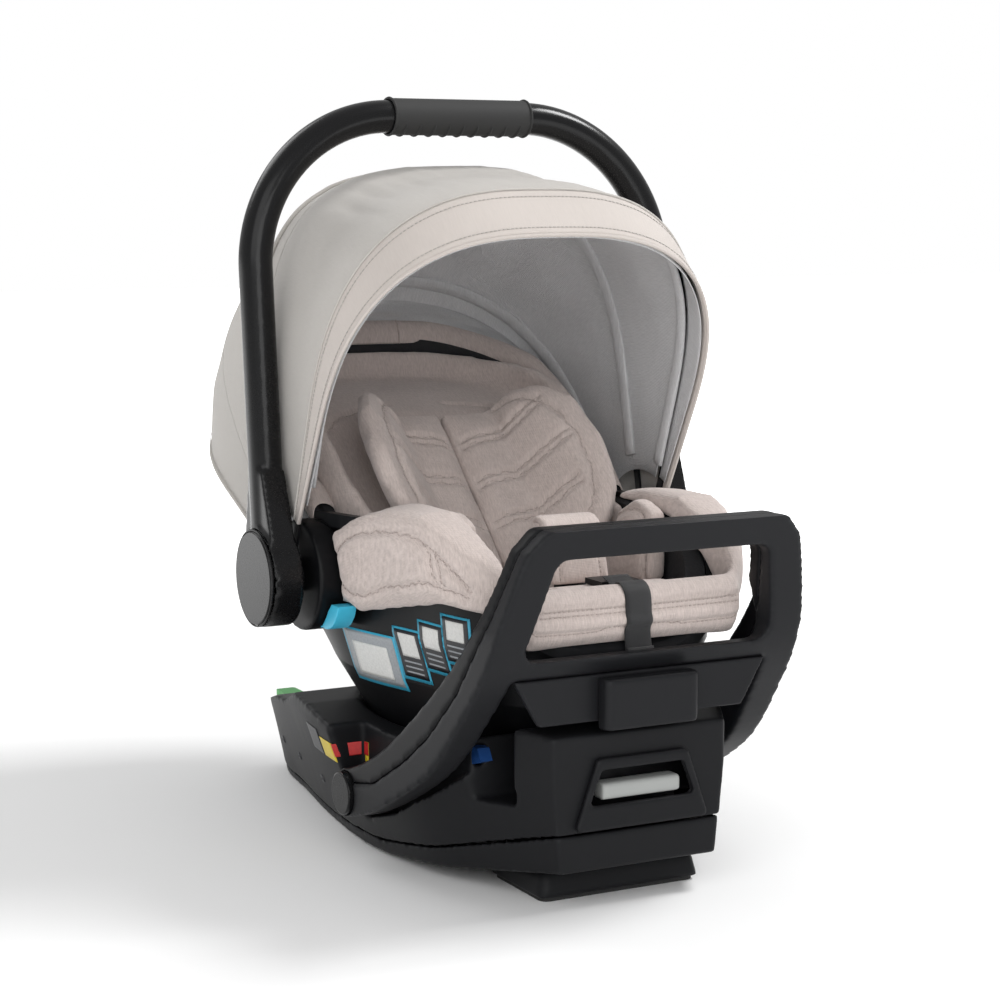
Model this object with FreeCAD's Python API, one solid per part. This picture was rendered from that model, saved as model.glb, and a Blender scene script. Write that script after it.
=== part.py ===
import FreeCAD, Part
import math
import os

# Infant car seat: a carrier with handle and folding canopy on a stay-in-car base
# with an anti-rebound bar. Millimetres, +Z up, -Y towards the foot end.
# Origin: on the floor, at the middle of the object's box.

V = FreeCAD.Vector

# ---------------------------------------------------------------- driving dimensions
HUB_Y = 24.0            # handle and canopy pivot axis, along X
HUB_Z = 244.0
HUB_R = 44.0            # handle hub radius
BUCKLE = (-152.0, 258.0)  # top of the crotch strap
PIN_R = 8.0             # pivot pin
PIN_GAP = 0.05          # running clearance on the pin
PIN_DEPTH = 16.0        # how far the pin goes into the handle's hub
FIT = 0.5               # gap between neighbouring pieces on one body
RUN = 1.0               # gap between bodies that move past each other

HANDLE_HALF = 205.0     # leg centre line from the middle
HANDLE_REACH = 409.0    # hub axis to the grip centre line
HANDLE_BEND = 137.0     # corner radius of the handle
HANDLE_LEAN = 5.3       # degrees back from vertical
TUBE_W = 30.0           # handle tube, across and fore-aft
TUBE_D = 33.0
GRIP_HALF = 70.0
GRIP_WALL = 1.6         # outside of the grip over the tube
GRIP_SEAT = 0.8         # inside of the grip over the tube
HUB_T = 29.0            # thickness of the handle hub
CAP_R = 41.5            # hub button disc
CAP_T = 3.5

CANOPY_GAP = 1.3        # between the canopy and the handle's legs
CANOPY_HALF = HANDLE_HALF - TUBE_W / 2 - CANOPY_GAP
FABRIC_T = 1.8
BOW_T = 2.2
BOW_W = 8.0
BOW_PITCH = 2.7         # sideways step between neighbouring bow legs
CANOPY_SQUARE = 2.7     # superellipse exponent of every hoop
CANOPY_LEG = 150.0      # radius up to which the hoop legs run straight
REAR_EDGE = -67.0       # polar angles about the hub axis, forward positive
REAR_BOW = -45.0
MID_BOW = -12.0
FRONT_BOW = 20.0
HEM_EDGE = 28.0
CANOPY_REACH = [(-67, 324), (-56, 350), (-45, 366), (-31, 375), (-17, 373), (-5, 368), (8, 365), (20, 363),
                (28, 343)]

SHELL_T = 4.0
RIM_T = 5.0             # how far the rim band stands outside the shell
RIM_H = 12.0
FOAM_T = 13.5
PAD_T = 24.0            # padding over the foam
SEAT_FRONT = -245.5     # front end of the seat pad
SEAT_SPLIT = -41.0      # where the seat pad ends and the back pad begins
SHELL_BOTTOM = 62.0
# height, front y, rear y, half-width at front, at the hubs, at the rear
SHELL_SECTIONS = [
    (62, -70, 60, 50, 70, 45),
    (110, -190, 110, 66, 110, 80),
    (160, -236, 160, 82, 134, 98),
    (205, -257, 197, 92, 149, 110),
    (260, -259, 230, 97, 154, 122),
    (320, -254, 262, 98, 157, 130),
    (380, -244, 288, 98, 158, 132),
    (452, -226, 308, 98, 157, 132),
]
RIM_LINE = [(-300, 206), (-266, 206), (-240, 232), (-200, 268), (-150, 294), (-90, 302), (29, 300),
            (87, 348), (189, 412), (300, 446), (380, 456)]
SEAT_LINE = [(-300, 262), (-240, 260), (-180, 248), (-100, 232), (-34, 220), (25, 275), (84, 330),
             (132, 372), (190, 386), (262, 394), (380, 408)]
BACK_START = 4          # index of the first point of SEAT_LINE on the straight back
LINER_LINE = [(-300, 290), (-60, 290), (-6, 304), (16, 321), (55, 356), (104, 396), (150, 412), (230, 420),
              (380, 430)]
LINER_WALL = 16.0
INSERT_GAP = 9.0        # room for the stowed harness between the back pad and the insert
INSERT_T = 15.0
INSERT_HALF = 56.0
STRAP_T = 1.6
CLIP_T = 5.5
WING_TILT = 50.0        # degrees between the back and each wing
BOLSTER = (84.0, 104.0)   # inside and outside of the hip bolster, along X

LATCH_FRONT = -40.0     # the two latch bars under the carrier, along Y
LATCH_REAR = 36.0
CRADLE_GAP = 3.0        # between the carrier's shell and the base
ARM_GAP = 3.0           # between the bar's arms and the base
FOAM_FLOOR = 22.0       # thickness of the foam under the padding
BASE_T = 4.0
# y, half-width on the floor, half-width at the top of the base
BASE_PLAN = [(-274, 72, 82), (-246, 82, 97), (-196, 100, 128), (-146, 118, 160), (-100, 126, 172),
             (-40, 132, 173), (40, 128, 166), (130, 116, 150), (200, 104, 138), (262, 94, 118), (288, 84, 98)]
BASE_PLAN_TOP = 110.0
SEAM = [(-300, 66), (-270, 63), (-146, 30), (-60, 16), (60, 10), (300, 8)]
BASE_BOTTOM = [(-300, 34), (-262, 30), (-146, 12), (-60, 3), (20, 0), (300, 0)]
BASE_TOP = [(-300, 144), (-266, 147), (-232, 150), (-190, 132), (-150, 114), (-60, 112), (40, 122), (90, 122),
            (140, 104), (190, 98), (250, 82), (276, 62), (300, 20)]
BELT_SLOT = (-238, -200)
BELT_SLOT_FLOOR = 84.0
PANEL_T = 6.0
PANEL = [(64, 66), (43, 126)]
WINDOW = [(50, 87), (39, 116)]

BAR_FRONT = [(-50, 38), (-110, 57), (-160, 82), (-205, 112), (-248, 160), (-284, 210), (-301, 254),
             (-314, 298), (-322, 322)]
BAR_REAR = [(-50, 82), (-100, 104), (-150, 138), (-187, 168), (-225, 203), (-255, 240), (-276, 280),
            (-286, 322)]
BAR_OUTER = [(168, 20), (168, 70), (160, 112), (152, 181), (145, 237), (135, 280), (128, 304), (112, 322)]
BAR_INNER = [(145, 20), (145, 60), (140, 80), (128, 140), (120, 196)]
BAR_WINDOW = [(118, 212), (98, 298)]
BAR_BACK = -269.0       # rear face of the lower bar and its panel
BAR_PIVOT = (-50, 60)
BAR_DISC_R = 19.0

FOOT_HALF = 78.0
FOOT_Y = (-246, -150)
FOOT_TOP = 26.0
PAD_H = 3.0


# ---------------------------------------------------------------- helpers
def prism_x(points, x0, x1):
    wire = Part.makePolygon([V(x0, y, z) for y, z in points] + [V(x0, *points[0])])
    return Part.Face(wire).extrude(V(x1 - x0, 0, 0))


def prism_y(points, y0, y1):
    wire = Part.makePolygon([V(x, y0, z) for x, z in points] + [V(points[0][0], y0, points[0][1])])
    return Part.Face(wire).extrude(V(0, y1 - y0, 0))


def prism_z(points, z0, z1):
    wire = Part.makePolygon([V(x, y, z0) for x, y in points] + [V(points[0][0], points[0][1], z0)])
    return Part.Face(wire).extrude(V(0, 0, z1 - z0))


def box(x0, x1, y0, y1, z0, z1):
    return Part.makeBox(x1 - x0, y1 - y0, z1 - z0, V(x0, y0, z0))


def disc_x(r, x0, x1, y, z):
    return Part.makeCylinder(r, x1 - x0, V(x0, y, z), V(1, 0, 0))


def mirrored(shape):
    return shape.mirror(V(0, 0, 0), V(1, 0, 0))


def biggest(shape):
    return max(shape.Solids, key=lambda s: s.Volume)


def rounded(shape, radius, pick):
    edges = [e for e in shape.Edges if pick(e)]
    return shape.makeFillet(radius, edges) if edges else shape


def along(axis, tolerance=0.99):
    def pick(edge):
        if len(edge.Vertexes) < 2:
            return False
        d = edge.Vertexes[1].Point - edge.Vertexes[0].Point
        return d.Length > 1 and abs(d.normalize().dot(axis)) > tolerance
    return pick


def both_sides(points):
    return [(x, z) for x, z in points] + [(-x, z) for x, z in reversed(points)]


def spline(points):
    curve = Part.BSplineCurve()
    curve.interpolate(points)
    return curve.toShape()


NODES = {}


def write(name, shape):
    if len(shape.Solids) == 1:
        shape = shape.Solids[0]
    NODES[name] = shape
    shape.exportStep(os.path.join("parts", name + ".step"))
    print("%-24s solids %d  volume %10.0f" % (name, len(shape.Solids), shape.Volume))


# ---------------------------------------------------------------- carrier bucket
def bucket(grow, bottom=SHELL_BOTTOM):
    wires = []
    for z, front, rear, w_front, w_mid, w_rear in SHELL_SECTIONS:
        if z == SHELL_BOTTOM:
            z = bottom
        f, r = front - grow, rear + grow
        wf, wm, wr = w_front + grow, w_mid + grow, w_rear + grow
        long = r - f
        half = [(0.62 * wf, f + 0.014 * long), (wf, f + 0.065 * long), (0.42 * wf + 0.58 * wm, f + 0.32 * long),
                (wm, f + 0.593 * long), (0.35 * wm + 0.65 * wr, r - 0.157 * long), (0.62 * wr, r - 0.026 * long)]
        points = [V(0, f, z)] + [V(x, y, z) for x, y in half] + [V(0, r, z)]
        points += [V(-x, y, z) for x, y in reversed(half)]
        curve = Part.BSplineCurve()
        curve.interpolate(points, True)
        wires.append(Part.Wire([curve.toShape()]))
    return Part.makeLoft(wires, True, True)


def above(line, lift=0.0):
    points = [(y, z + lift) for y, z in line]
    return prism_x(points + [(line[-1][0], 900), (line[0][0], 900)], -260, 260)


def below_rim(shape, lift=0.0):
    return biggest(shape.cut(above(RIM_LINE, lift)))


BUCKET = bucket(0)
KEEP_OUT = below_rim(bucket(RIM_T + FIT), FIT)


def carrier_shell():
    return below_rim(BUCKET.cut(bucket(-SHELL_T, SHELL_BOTTOM + SHELL_T)))


def shell_rim():
    band = bucket(RIM_T).cut(BUCKET)
    return biggest(band.cut(above(RIM_LINE)).common(above(RIM_LINE, -RIM_H)))


def foam_liner():
    outer = below_rim(bucket(-SHELL_T - FIT, SHELL_BOTTOM + SHELL_T + FIT), -5)
    outer = outer.common(above(SEAT_LINE, -PAD_T - FOAM_FLOOR))
    inner = bucket(-SHELL_T - FOAM_T, SHELL_BOTTOM + SHELL_T + FOAM_T)
    return biggest(outer.cut(inner.common(above(SEAT_LINE, -PAD_T))))


PAD_ROOM = bucket(-SHELL_T - FOAM_T - FIT, SHELL_BOTTOM + SHELL_T + FOAM_T + FIT)


def padding(y0, y1):
    pad = PAD_ROOM.common(above(SEAT_LINE, FIT - PAD_T)).cut(above(SEAT_LINE))
    return biggest(pad.common(box(-200, 200, y0, y1, 0, 500)))


def back_pad():
    grow = -SHELL_T - FOAM_T - FIT - LINER_WALL
    wall = PAD_ROOM.cut(bucket(grow, SHELL_BOTTOM - grow))
    wall = wall.common(above(SEAT_LINE, FIT - PAD_T)).cut(above(LINER_LINE))
    wall = wall.common(box(-200, 200, SEAT_SPLIT + FIT, 400, 0, 500))
    return biggest(padding(SEAT_SPLIT + FIT, 400).fuse(wall).removeSplitter())


def front_roll():
    profile = [(-246, 212), (-258, 212), (-270, 228), (-272, 240), (-271, 255), (-263, 266), (-246, 268)]
    return biggest(prism_x(profile, -BOLSTER[1], BOLSTER[1]).cut(KEEP_OUT))


def side_flap():
    profile = [(-8, 224), (-58, 219), (-120, 232), (-188, 245), (-256, 238), (-262, 262), (-236, 288),
               (-196, 306), (-155, 320), (-100, 319), (-48, 306), (-14, 288), (0, 262)]
    reach = bucket(RIM_T + 16).common(box(BOLSTER[1] + FIT, 168, -400, 100, 0, 500))
    flap = prism_x(profile, 60, 200).common(reach).cut([KEEP_OUT, hub_room(), carrier_guide()])
    return biggest(flap)


def hub_room():
    return disc_x(HUB_R + 6 + RUN, 100, 250, HUB_Y, HUB_Z)


def hip_bolster():
    profile = [(-150, 236), (-84, 217), (-58, 215), (-58, 262), (-84, 300), (-118, 316), (-150, 306)]
    bolster = prism_x(profile, BOLSTER[0], BOLSTER[1] - FIT).common(PAD_ROOM.cut(above(SEAT_LINE, 120)))
    return biggest(bolster.cut(padding(SEAT_FRONT, SEAT_SPLIT)))


def back_line(gap):
    a, b = SEAT_LINE[BACK_START], SEAT_LINE[BACK_START + 2]
    lean = V(0, b[0] - a[0], b[1] - a[1]).normalize()
    normal = V(0, -lean.z, lean.y)
    foot = V(0, *a) + normal * gap
    return foot, lean, normal


def along_back(gap, reach, thick, x0, x1):
    foot, lean, normal = back_line(gap)
    corners = [foot + lean * reach[0], foot + lean * reach[1], foot + lean * reach[1] + normal * thick,
               foot + lean * reach[0] + normal * thick]
    return prism_x([(c.y, c.z) for c in corners], x0, x1)


def insert_back():
    return along_back(INSERT_GAP, (12, 204), INSERT_T, -INSERT_HALF, INSERT_HALF)


def insert_wing():
    # a flat pad that stands up from the side of the insert, leaning outwards
    foot, lean, normal = back_line(INSERT_GAP)
    a = math.radians(WING_TILT)
    across = V(math.cos(a), 0, 0) + normal * math.sin(a)
    face = V(-math.sin(a), 0, 0) + normal * math.cos(a)
    origin = foot + V(INSERT_HALF + FIT, 0, 0)
    outline = [(12, 0), (208, 0), (214, 24), (202, 54), (168, 80), (110, 88), (60, 82), (28, 62), (8, 30)]
    corners = [origin + lean * s + across * t for s, t in outline]
    plate = Part.Face(Part.makePolygon(corners + [corners[0]])).extrude(face * INSERT_T)
    plate.translate(face * (-INSERT_T / 2) + normal * (INSERT_T / 2) + across * 2)
    plate = plate.common(box(INSERT_HALF + FIT, 200, -400, 400, 0, 600))
    return biggest(plate.cut([back_pad(), foam_liner(), hip_bolster(), side_flap()]))


def hub_mount():
    mount = disc_x(HUB_R + 6, 140, CANOPY_HALF - FABRIC_T - 3 * BOW_PITCH - FIT, HUB_Y, HUB_Z)
    mount = mount.cut(below_rim(BUCKET, 60)).cut(KEEP_OUT)
    mount = mount.cut(disc_x(PIN_R, 100, 250, HUB_Y, HUB_Z))
    return biggest(mount)


def hub_pin():
    return disc_x(PIN_R, 158, HANDLE_HALF - TUBE_W / 2 + PIN_DEPTH, HUB_Y, HUB_Z).cut(BUCKET)


def carrier_guide():
    ring = disc_x(34, 150, 172, -14, 232).cut(disc_x(24, 150, 172, -8, 240))
    ring = ring.common(box(0, 300, -60, 10, 190, 227)).cut(disc_x(HUB_R + 6 + FIT, 100, 250, HUB_Y, HUB_Z))
    return biggest(ring.cut(bucket(0.2)))


def latch_bar(y):
    bar = disc_x(4, -60, 60, y, SHELL_BOTTOM - 6)
    lugs = [box(x - 3, x + 3, y - 7, y + 7, SHELL_BOTTOM - 12, SHELL_BOTTOM) for x in (-57, 57)]
    return bar.fuse(lugs)


def carrier_lever():
    lever = box(-46, 46, 200, 290, 300, 330).cut(bucket(RUN))
    lever = lever.common(bucket(14))
    return biggest(lever)


# ---------------------------------------------------------------- harness
def shoulder_strap():
    return along_back(FIT, (60, 178), STRAP_T, 20, 44)


def chest_clip():
    clip = along_back(2 * FIT + STRAP_T, (96, 122), CLIP_T, -46, 46)
    return rounded(clip, 2.0, lambda e: e.Length > CLIP_T + 1)


def at_buckle(u, n):
    # u runs up along the buckle, n out of its face, both from the end of the crotch strap
    lean = V(0, 14, 38).normalize()
    return BUCKLE[0] + lean.y * u - lean.z * n, BUCKLE[1] + lean.z * u + lean.y * n


def buckle_block(u0, u1, n0, n1, half):
    return prism_x([at_buckle(u0, n0), at_buckle(u1, n0), at_buckle(u1, n1), at_buckle(u0, n1)], -half, half)


def crotch_strap():
    foot = (BUCKLE[0] - 8, 232)
    strap = prism_x([at_buckle(-FIT, -1), at_buckle(-FIT, 1), (foot[0] - 2, foot[1]), foot], -16, 16)
    return strap.cut(padding(SEAT_FRONT, SEAT_SPLIT))


def buckle_cover():
    # a padded sleeve in front of the buckle and over its top
    outer = prism_x([at_buckle(-14, 9), at_buckle(-14, 22), at_buckle(40, 24), at_buckle(52, 12),
                     at_buckle(52, -4), at_buckle(44, -6), at_buckle(44, 9)], -30, 30)
    return rounded(outer, 2.5, along(V(1, 0, 0)))


def buckle():
    body = buckle_block(0, 42, -8, 8, 22)
    return rounded(body, 3, lambda e: e.Length > 10).cut(buckle_block(14, 36, -1, 9, 12))


def buckle_button():
    return buckle_block(14.4, 35.6, 3.4, 8.4, 11.6)


def harness_adjuster():
    return box(-18, 18, -240, -212, 259, 264).cut(padding(SEAT_FRONT, SEAT_SPLIT))


def adjuster_strap():
    half = 12.5
    route = [(-238, 271), (-264, 271), (-289, 267), (-299, 256), (-300, 240), (-300, 171)]
    back = [(-297, 171), (-297.4, 240), (-296.6, 254), (-288, 265), (-264, 269.4), (-238, 269.4)]
    return prism_x(route + back, -half, half)


# ---------------------------------------------------------------- canopy
def reach_at(angle):
    for (a0, r0), (a1, r1) in zip(CANOPY_REACH, CANOPY_REACH[1:]):
        if a0 <= angle <= a1:
            return r0 + (r1 - r0) * (angle - a0) / (a1 - a0)
    return CANOPY_REACH[-1][1]


def polar(x, r, angle):
    a = math.radians(angle)
    return V(x, HUB_Y - r * math.sin(a), HUB_Z + r * math.cos(a))


def hoop_points(half, reach, angle, steps=9, start=30.0):
    points = [polar(half, start, angle), polar(half, 0.5 * (start + CANOPY_LEG), angle)]
    for i in range(steps + 1):
        t = 0.5 * math.pi * i / steps
        x = half * math.cos(t) ** (2 / CANOPY_SQUARE) if i < steps else 0.0
        r = CANOPY_LEG + (reach - CANOPY_LEG) * math.sin(t) ** (2 / CANOPY_SQUARE)
        points.append(polar(x, r, angle))
    return points + [V(-p.x, p.y, p.z) for p in reversed(points[:-1])]


def hoop_wire(half, reach, thick, angle, start=30.0):
    outer = hoop_points(half, reach, angle, start=start)
    inner = hoop_points(half - thick, reach - thick, angle, start=start)[::-1]
    edges = [spline(outer), Part.makeLine(outer[-1], inner[0]), spline(inner), Part.makeLine(inner[-1], outer[0])]
    return Part.Wire(edges)


def canopy_panel(a0, a1, start=58.0):
    steps = max(2, int(round((a1 - a0) / 9)))
    gap = 0.12
    angles = [a0 + gap + (a1 - a0 - 2 * gap) * i / steps for i in range(steps + 1)]
    wires = [hoop_wire(CANOPY_HALF, reach_at(a), FABRIC_T, a, start) for a in angles]
    return Part.makeLoft(wires, True, False)


def canopy_bow(angle, layer):
    half = CANOPY_HALF - FABRIC_T - FIT - layer * BOW_PITCH
    reach = min(reach_at(angle - 1), reach_at(angle + 1)) - FABRIC_T - 1.0
    face = Part.Face(hoop_wire(half, reach, BOW_T, angle, 10.0))
    a = math.radians(angle)
    normal = V(0, math.cos(a), math.sin(a))
    bow = face.extrude(normal * BOW_W)
    bow.translate(normal * (-BOW_W / 2))
    for side in (1, -1):
        x0 = side * half if side < 0 else half - BOW_T
        end = disc_x(15, x0, x0 + BOW_T, HUB_Y, HUB_Z)
        bow = bow.fuse(end)
    hole = disc_x(PIN_R + PIN_GAP, -250, 250, HUB_Y, HUB_Z)
    return biggest(bow.cut(hole))


# ---------------------------------------------------------------- handle
def handle_path(offset=0.0):
    def at(x, r):
        return polar(x, r, -HANDLE_LEAN)
    half, reach, bend = HANDLE_HALF, HANDLE_REACH, HANDLE_BEND
    k = bend * (1 - math.sqrt(0.5))
    edges = [Part.makeLine(at(-half, 0), at(-half, reach - bend))]
    edges.append(Part.Arc(at(-half, reach - bend), at(-half + k, reach - k), at(-half + bend, reach)).toShape())
    edges.append(Part.makeLine(at(-half + bend, reach), at(half - bend, reach)))
    edges.append(Part.Arc(at(half - bend, reach), at(half - k, reach - k), at(half, reach - bend)).toShape())
    edges.append(Part.makeLine(at(half, reach - bend), at(half, 0)))
    return Part.Wire(edges)


def tube_section(grow=0.0):
    a = math.radians(-HANDLE_LEAN)
    fore = V(0, math.cos(a), math.sin(a))
    centre = polar(-HANDLE_HALF, 0, -HANDLE_LEAN)
    ellipse = Part.Ellipse(centre + fore * (TUBE_D / 2 + grow), centre + V(TUBE_W / 2 + grow, 0, 0), centre)
    return Part.Wire([ellipse.toShape()])


def handle_frame():
    tube = handle_path().makePipeShell([tube_section()], True, True)
    x0 = HANDLE_HALF - TUBE_W / 2
    body = tube
    for side in (1, -1):
        start = x0 if side > 0 else -x0 - HUB_T
        hub = disc_x(HUB_R, start, start + HUB_T, HUB_Y, HUB_Z)
        body = body.fuse(hub)
        root = prism_x([(HUB_Y - 34, HUB_Z + 26), (HUB_Y + 34, HUB_Z + 26), (HUB_Y + 23, HUB_Z + 96),
                        (HUB_Y - 8, HUB_Z + 96)], start + 3, start + HUB_T - 3)
        body = body.fuse(root)
    for side in (1, -1):
        cap_x = x0 + HUB_T - 5.2 if side > 0 else -x0 - HUB_T - 3
        body = body.cut(disc_x(CAP_R + 0.5, cap_x, cap_x + 8.2, HUB_Y, HUB_Z))
        pin_x = x0 - 1 if side > 0 else -x0 - PIN_DEPTH - 1
        body = body.cut(disc_x(PIN_R + PIN_GAP, pin_x, pin_x + PIN_DEPTH + 2, HUB_Y, HUB_Z))
    outside = TUBE_W / 2 - 0.6
    side_cut = HANDLE_HALF + outside
    keep = box(-side_cut, side_cut, -500, 500, -500, 900)
    body = body.common(keep)
    return biggest(body)


def grip_bar(grow):
    a = math.radians(-HANDLE_LEAN)
    up = V(0, -math.sin(a), math.cos(a))
    fore = V(0, math.cos(a), math.sin(a))
    centre = polar(-GRIP_HALF, HANDLE_REACH, -HANDLE_LEAN)
    long_half, short_half = TUBE_D / 2 + grow, TUBE_W / 2 + grow
    ellipse = Part.Ellipse(centre + fore * long_half, centre + up * short_half, centre)
    return Part.Face(Part.Wire([ellipse.toShape()])).extrude(V(2 * GRIP_HALF, 0, 0))


def handle_grip():
    return grip_bar(GRIP_WALL).cut(grip_bar(GRIP_SEAT))


def handle_button():
    x0 = HANDLE_HALF + TUBE_W / 2 - 0.6
    cap = disc_x(CAP_R, x0 - 1, x0 + CAP_T - 1, HUB_Y, HUB_Z)
    return rounded(cap, 1.4, lambda e: e.BoundBox.XMin > x0 + CAP_T - 1.1 and e.BoundBox.YLength > 2 * CAP_R - 1)


# ---------------------------------------------------------------- base
def base_block(inset=0.0):
    wires = []
    for z, column in ((0.0, 1), (BASE_PLAN_TOP, 2)):
        side = [(row[column] - inset, row[0]) for row in BASE_PLAN]
        side[0] = (side[0][0], side[0][1] + inset)
        side[-1] = (side[-1][0], side[-1][1] - inset)
        right = [V(x, y, z) for x, y in side]
        left = [V(-x, y, z) for x, y in reversed(side)]
        edges = [spline(right), Part.makeLine(right[-1], left[0]), spline(left), Part.makeLine(left[-1], right[0])]
        wires.append(Part.Wire(edges))
    block = Part.makeLoft(wires, True, True)
    top = wires[1].copy()
    top.translate(V(0, 0, 60))
    cap = Part.makeLoft([wires[1], top], True, True)
    return block.fuse(cap).removeSplitter()


def arm_channel(grow):
    floor = [(y, z - grow) for y, z in BAR_FRONT[:7]]
    floor[0] = (BAR_PIVOT[0], floor[0][1])
    side = [(BAR_PIVOT[0] + 22 + grow, 400), (BAR_PIVOT[0] + 22 + grow, BAR_PIVOT[1]),
            (BAR_PIVOT[0] + 14 + grow, floor[0][1] + 6)]
    region = prism_x(side + floor + [(-340, 400)], 0, 260)
    plan = [(BAR_INNER[1][0] - grow, 20), (260, 20), (260, -340), (108 - grow, -340), (122 - grow, -196)]
    return region.common(prism_z(plan, 0, 400))


def in_side_view(shape, bottom, top):
    points = list(bottom) + [(y, z) for y, z in reversed(top)]
    return shape.common(prism_x(points, -260, 260))


def belt_slot(grow=0.0):
    y0, y1 = BELT_SLOT
    return box(-260, 260, y0 - grow, y1 + grow, BELT_SLOT_FLOOR - grow, 400)


def bar_pockets(grow=0.0):
    pockets = []
    for y in (LATCH_FRONT, LATCH_REAR):
        pockets.append(box(-66 - grow, 66 + grow, y - 13 - grow, y + 13 + grow, 36 - grow, 90))
    return pockets


def base_upper_cover():
    seam = [(y, z + FIT) for y, z in SEAM]
    cover = in_side_view(base_block(), seam, BASE_TOP)
    cover = cover.cut(bucket(CRADLE_GAP, SHELL_BOTTOM - CRADLE_GAP))
    cover = cover.cut([belt_slot()] + bar_pockets())
    channel = arm_channel(ARM_GAP)
    cover = cover.cut([channel, mirrored(channel)])
    inner_seam = [(y, z - 60) for y, z in SEAM]
    inner_top = [(y, z - BASE_T) for y, z in BASE_TOP]
    hollow = in_side_view(base_block(BASE_T), inner_seam, inner_top)
    hollow = hollow.cut(bucket(CRADLE_GAP + BASE_T, SHELL_BOTTOM - CRADLE_GAP - BASE_T))
    channel = arm_channel(ARM_GAP + BASE_T)
    hollow = hollow.cut([channel, mirrored(channel), belt_slot(BASE_T)] + bar_pockets(BASE_T))
    cover = cover.cut(hollow)
    cover = cover.cut([window_pocket(), belt_hook(), mirrored(belt_hook())])
    cover = cover.cut(lock_pocket())
    return biggest(cover)


def base_lower_shell():
    shell = in_side_view(base_block(0.6), BASE_BOTTOM, SEAM)
    hollow = in_side_view(base_block(BASE_T + 0.6), [(y, z + BASE_T) for y, z in BASE_BOTTOM],
                          [(y, z + 20) for y, z in SEAM])
    shell = shell.cut(hollow)
    shell = shell.cut([bucket(CRADLE_GAP, SHELL_BOTTOM - CRADLE_GAP)] + bar_pockets())
    channel = arm_channel(ARM_GAP)
    shell = shell.cut([channel, mirrored(channel)])
    well = box(-FOOT_HALF + 8, FOOT_HALF - 8, FOOT_Y[0] + 6, FOOT_Y[1] - 6, 0, 90)
    return biggest(shell.cut(well))


def window_pocket():
    points = [(x, z) for x, z in WINDOW]
    return prism_y(both_sides(points), BASE_PLAN[0][0] - 1, BASE_PLAN[0][0] + 30)


def base_front_panel():
    y = BASE_PLAN[0][0] - 0.1
    panel = prism_y(both_sides(PANEL), y - PANEL_T, y)
    panel = rounded(panel, 4, along(V(0, 1, 0)))
    opening = rounded(prism_y(both_sides(WINDOW), y - 40, y + 10), 3, along(V(0, 1, 0)))
    return panel.cut(opening)


def recline_handle():
    y = BASE_PLAN[0][0]
    bar = box(-37, 37, y - 3, y + 16, 90, 104)
    return rounded(bar, 4, along(V(1, 0, 0)))


def lock_pocket():
    return box(-112, -90, 222, 250, 60, 140)


def belt_lock_button():
    button = box(-111, -91, 223, 249, 68, 90)
    return rounded(button, 3, along(V(0, 0, 1)))


def belt_hook():
    profile = [(-196, 112), (-176, 116), (-170, 132), (-182, 150), (-196, 150), (-188, 138), (-190, 128),
               (-208, 128), (-214, 118)]
    return prism_x(profile, 106, 117)


def base_hook(y):
    plates = []
    for x in (-34, 28):
        plate = prism_x([(y - 11, 38), (y + 11, 38), (y + 11, 60), (y + 6, 60), (y + 6, 49), (y - 6, 49),
                         (y - 6, 60), (y - 11, 60)], x, x + 6)
        plates.append(plate)
    return Part.makeCompound(plates)


def recline_foot():
    wires = []
    for z, grow in ((PAD_H, 0.0), (FOOT_TOP - 8, -3.0), (FOOT_TOP, -6.0)):
        x, y0, y1 = FOOT_HALF + grow, FOOT_Y[0] - grow, FOOT_Y[1] + grow
        points = [V(-x, y0, z), V(x, y0, z), V(x, y1, z), V(-x, y1, z), V(-x, y0, z)]
        wires.append(Part.makePolygon(points))
    plate = Part.makeLoft(wires, True, True)
    plate = rounded(plate, 9, lambda e: along(V(0, 0, 1), 0.8)(e))
    plate = biggest(in_side_view(plate, [(-300, -10), (300, -10)], [(y, z - RUN) for y, z in BASE_BOTTOM]))
    neck = box(-FOOT_HALF + 12, FOOT_HALF - 12, FOOT_Y[0] + 12, FOOT_Y[1] - 12, FOOT_TOP - 18, FOOT_TOP + 22)
    return plate.fuse(neck).removeSplitter()


def foot_pad():
    pad = box(-FOOT_HALF + 4, FOOT_HALF - 4, FOOT_Y[0] + 4, FOOT_Y[1] - 4, 0, PAD_H)
    return rounded(pad, 8, along(V(0, 0, 1)))


# ---------------------------------------------------------------- anti-rebound bar
def bar_band(front, rear):
    # the arm's end is round about the pivot, above the straight part of the band
    points = [V(0, y, z) for y, z in front]
    back = [V(0, y, z) for y, z in rear]
    mid = V(0, BAR_PIVOT[0] + 22, BAR_PIVOT[1])
    edges = [spline(points), Part.makeLine(points[-1], back[-1]), spline(back[::-1])]
    edges.append(Part.Arc(back[0], mid, points[0]).toShape())
    return edges


def bar_solid():
    wire = Part.Wire(bar_band(BAR_FRONT, BAR_REAR))
    face = Part.Face(wire)
    face.translate(V(-200, 0, 0))
    solid = face.extrude(V(400, 0, 0))
    outline = prism_y(both_sides(BAR_OUTER), -400, 0)
    corner = [e for e in outline.Edges if along(V(0, 1, 0))(e) and e.BoundBox.ZMax > 300 and e.BoundBox.ZMin > 300]
    outline = outline.makeFillet(8, corner)
    window = prism_y(both_sides(BAR_WINDOW), -400, 0)
    window = rounded(window, 13, along(V(0, 1, 0)))
    lower = prism_y(both_sides(BAR_INNER), -400, 0)
    solid = solid.common(outline).cut(window)
    behind = box(-117, 117, BAR_BACK, 0, 0, 260)
    return biggest(solid.cut(lower).cut(behind))


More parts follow.
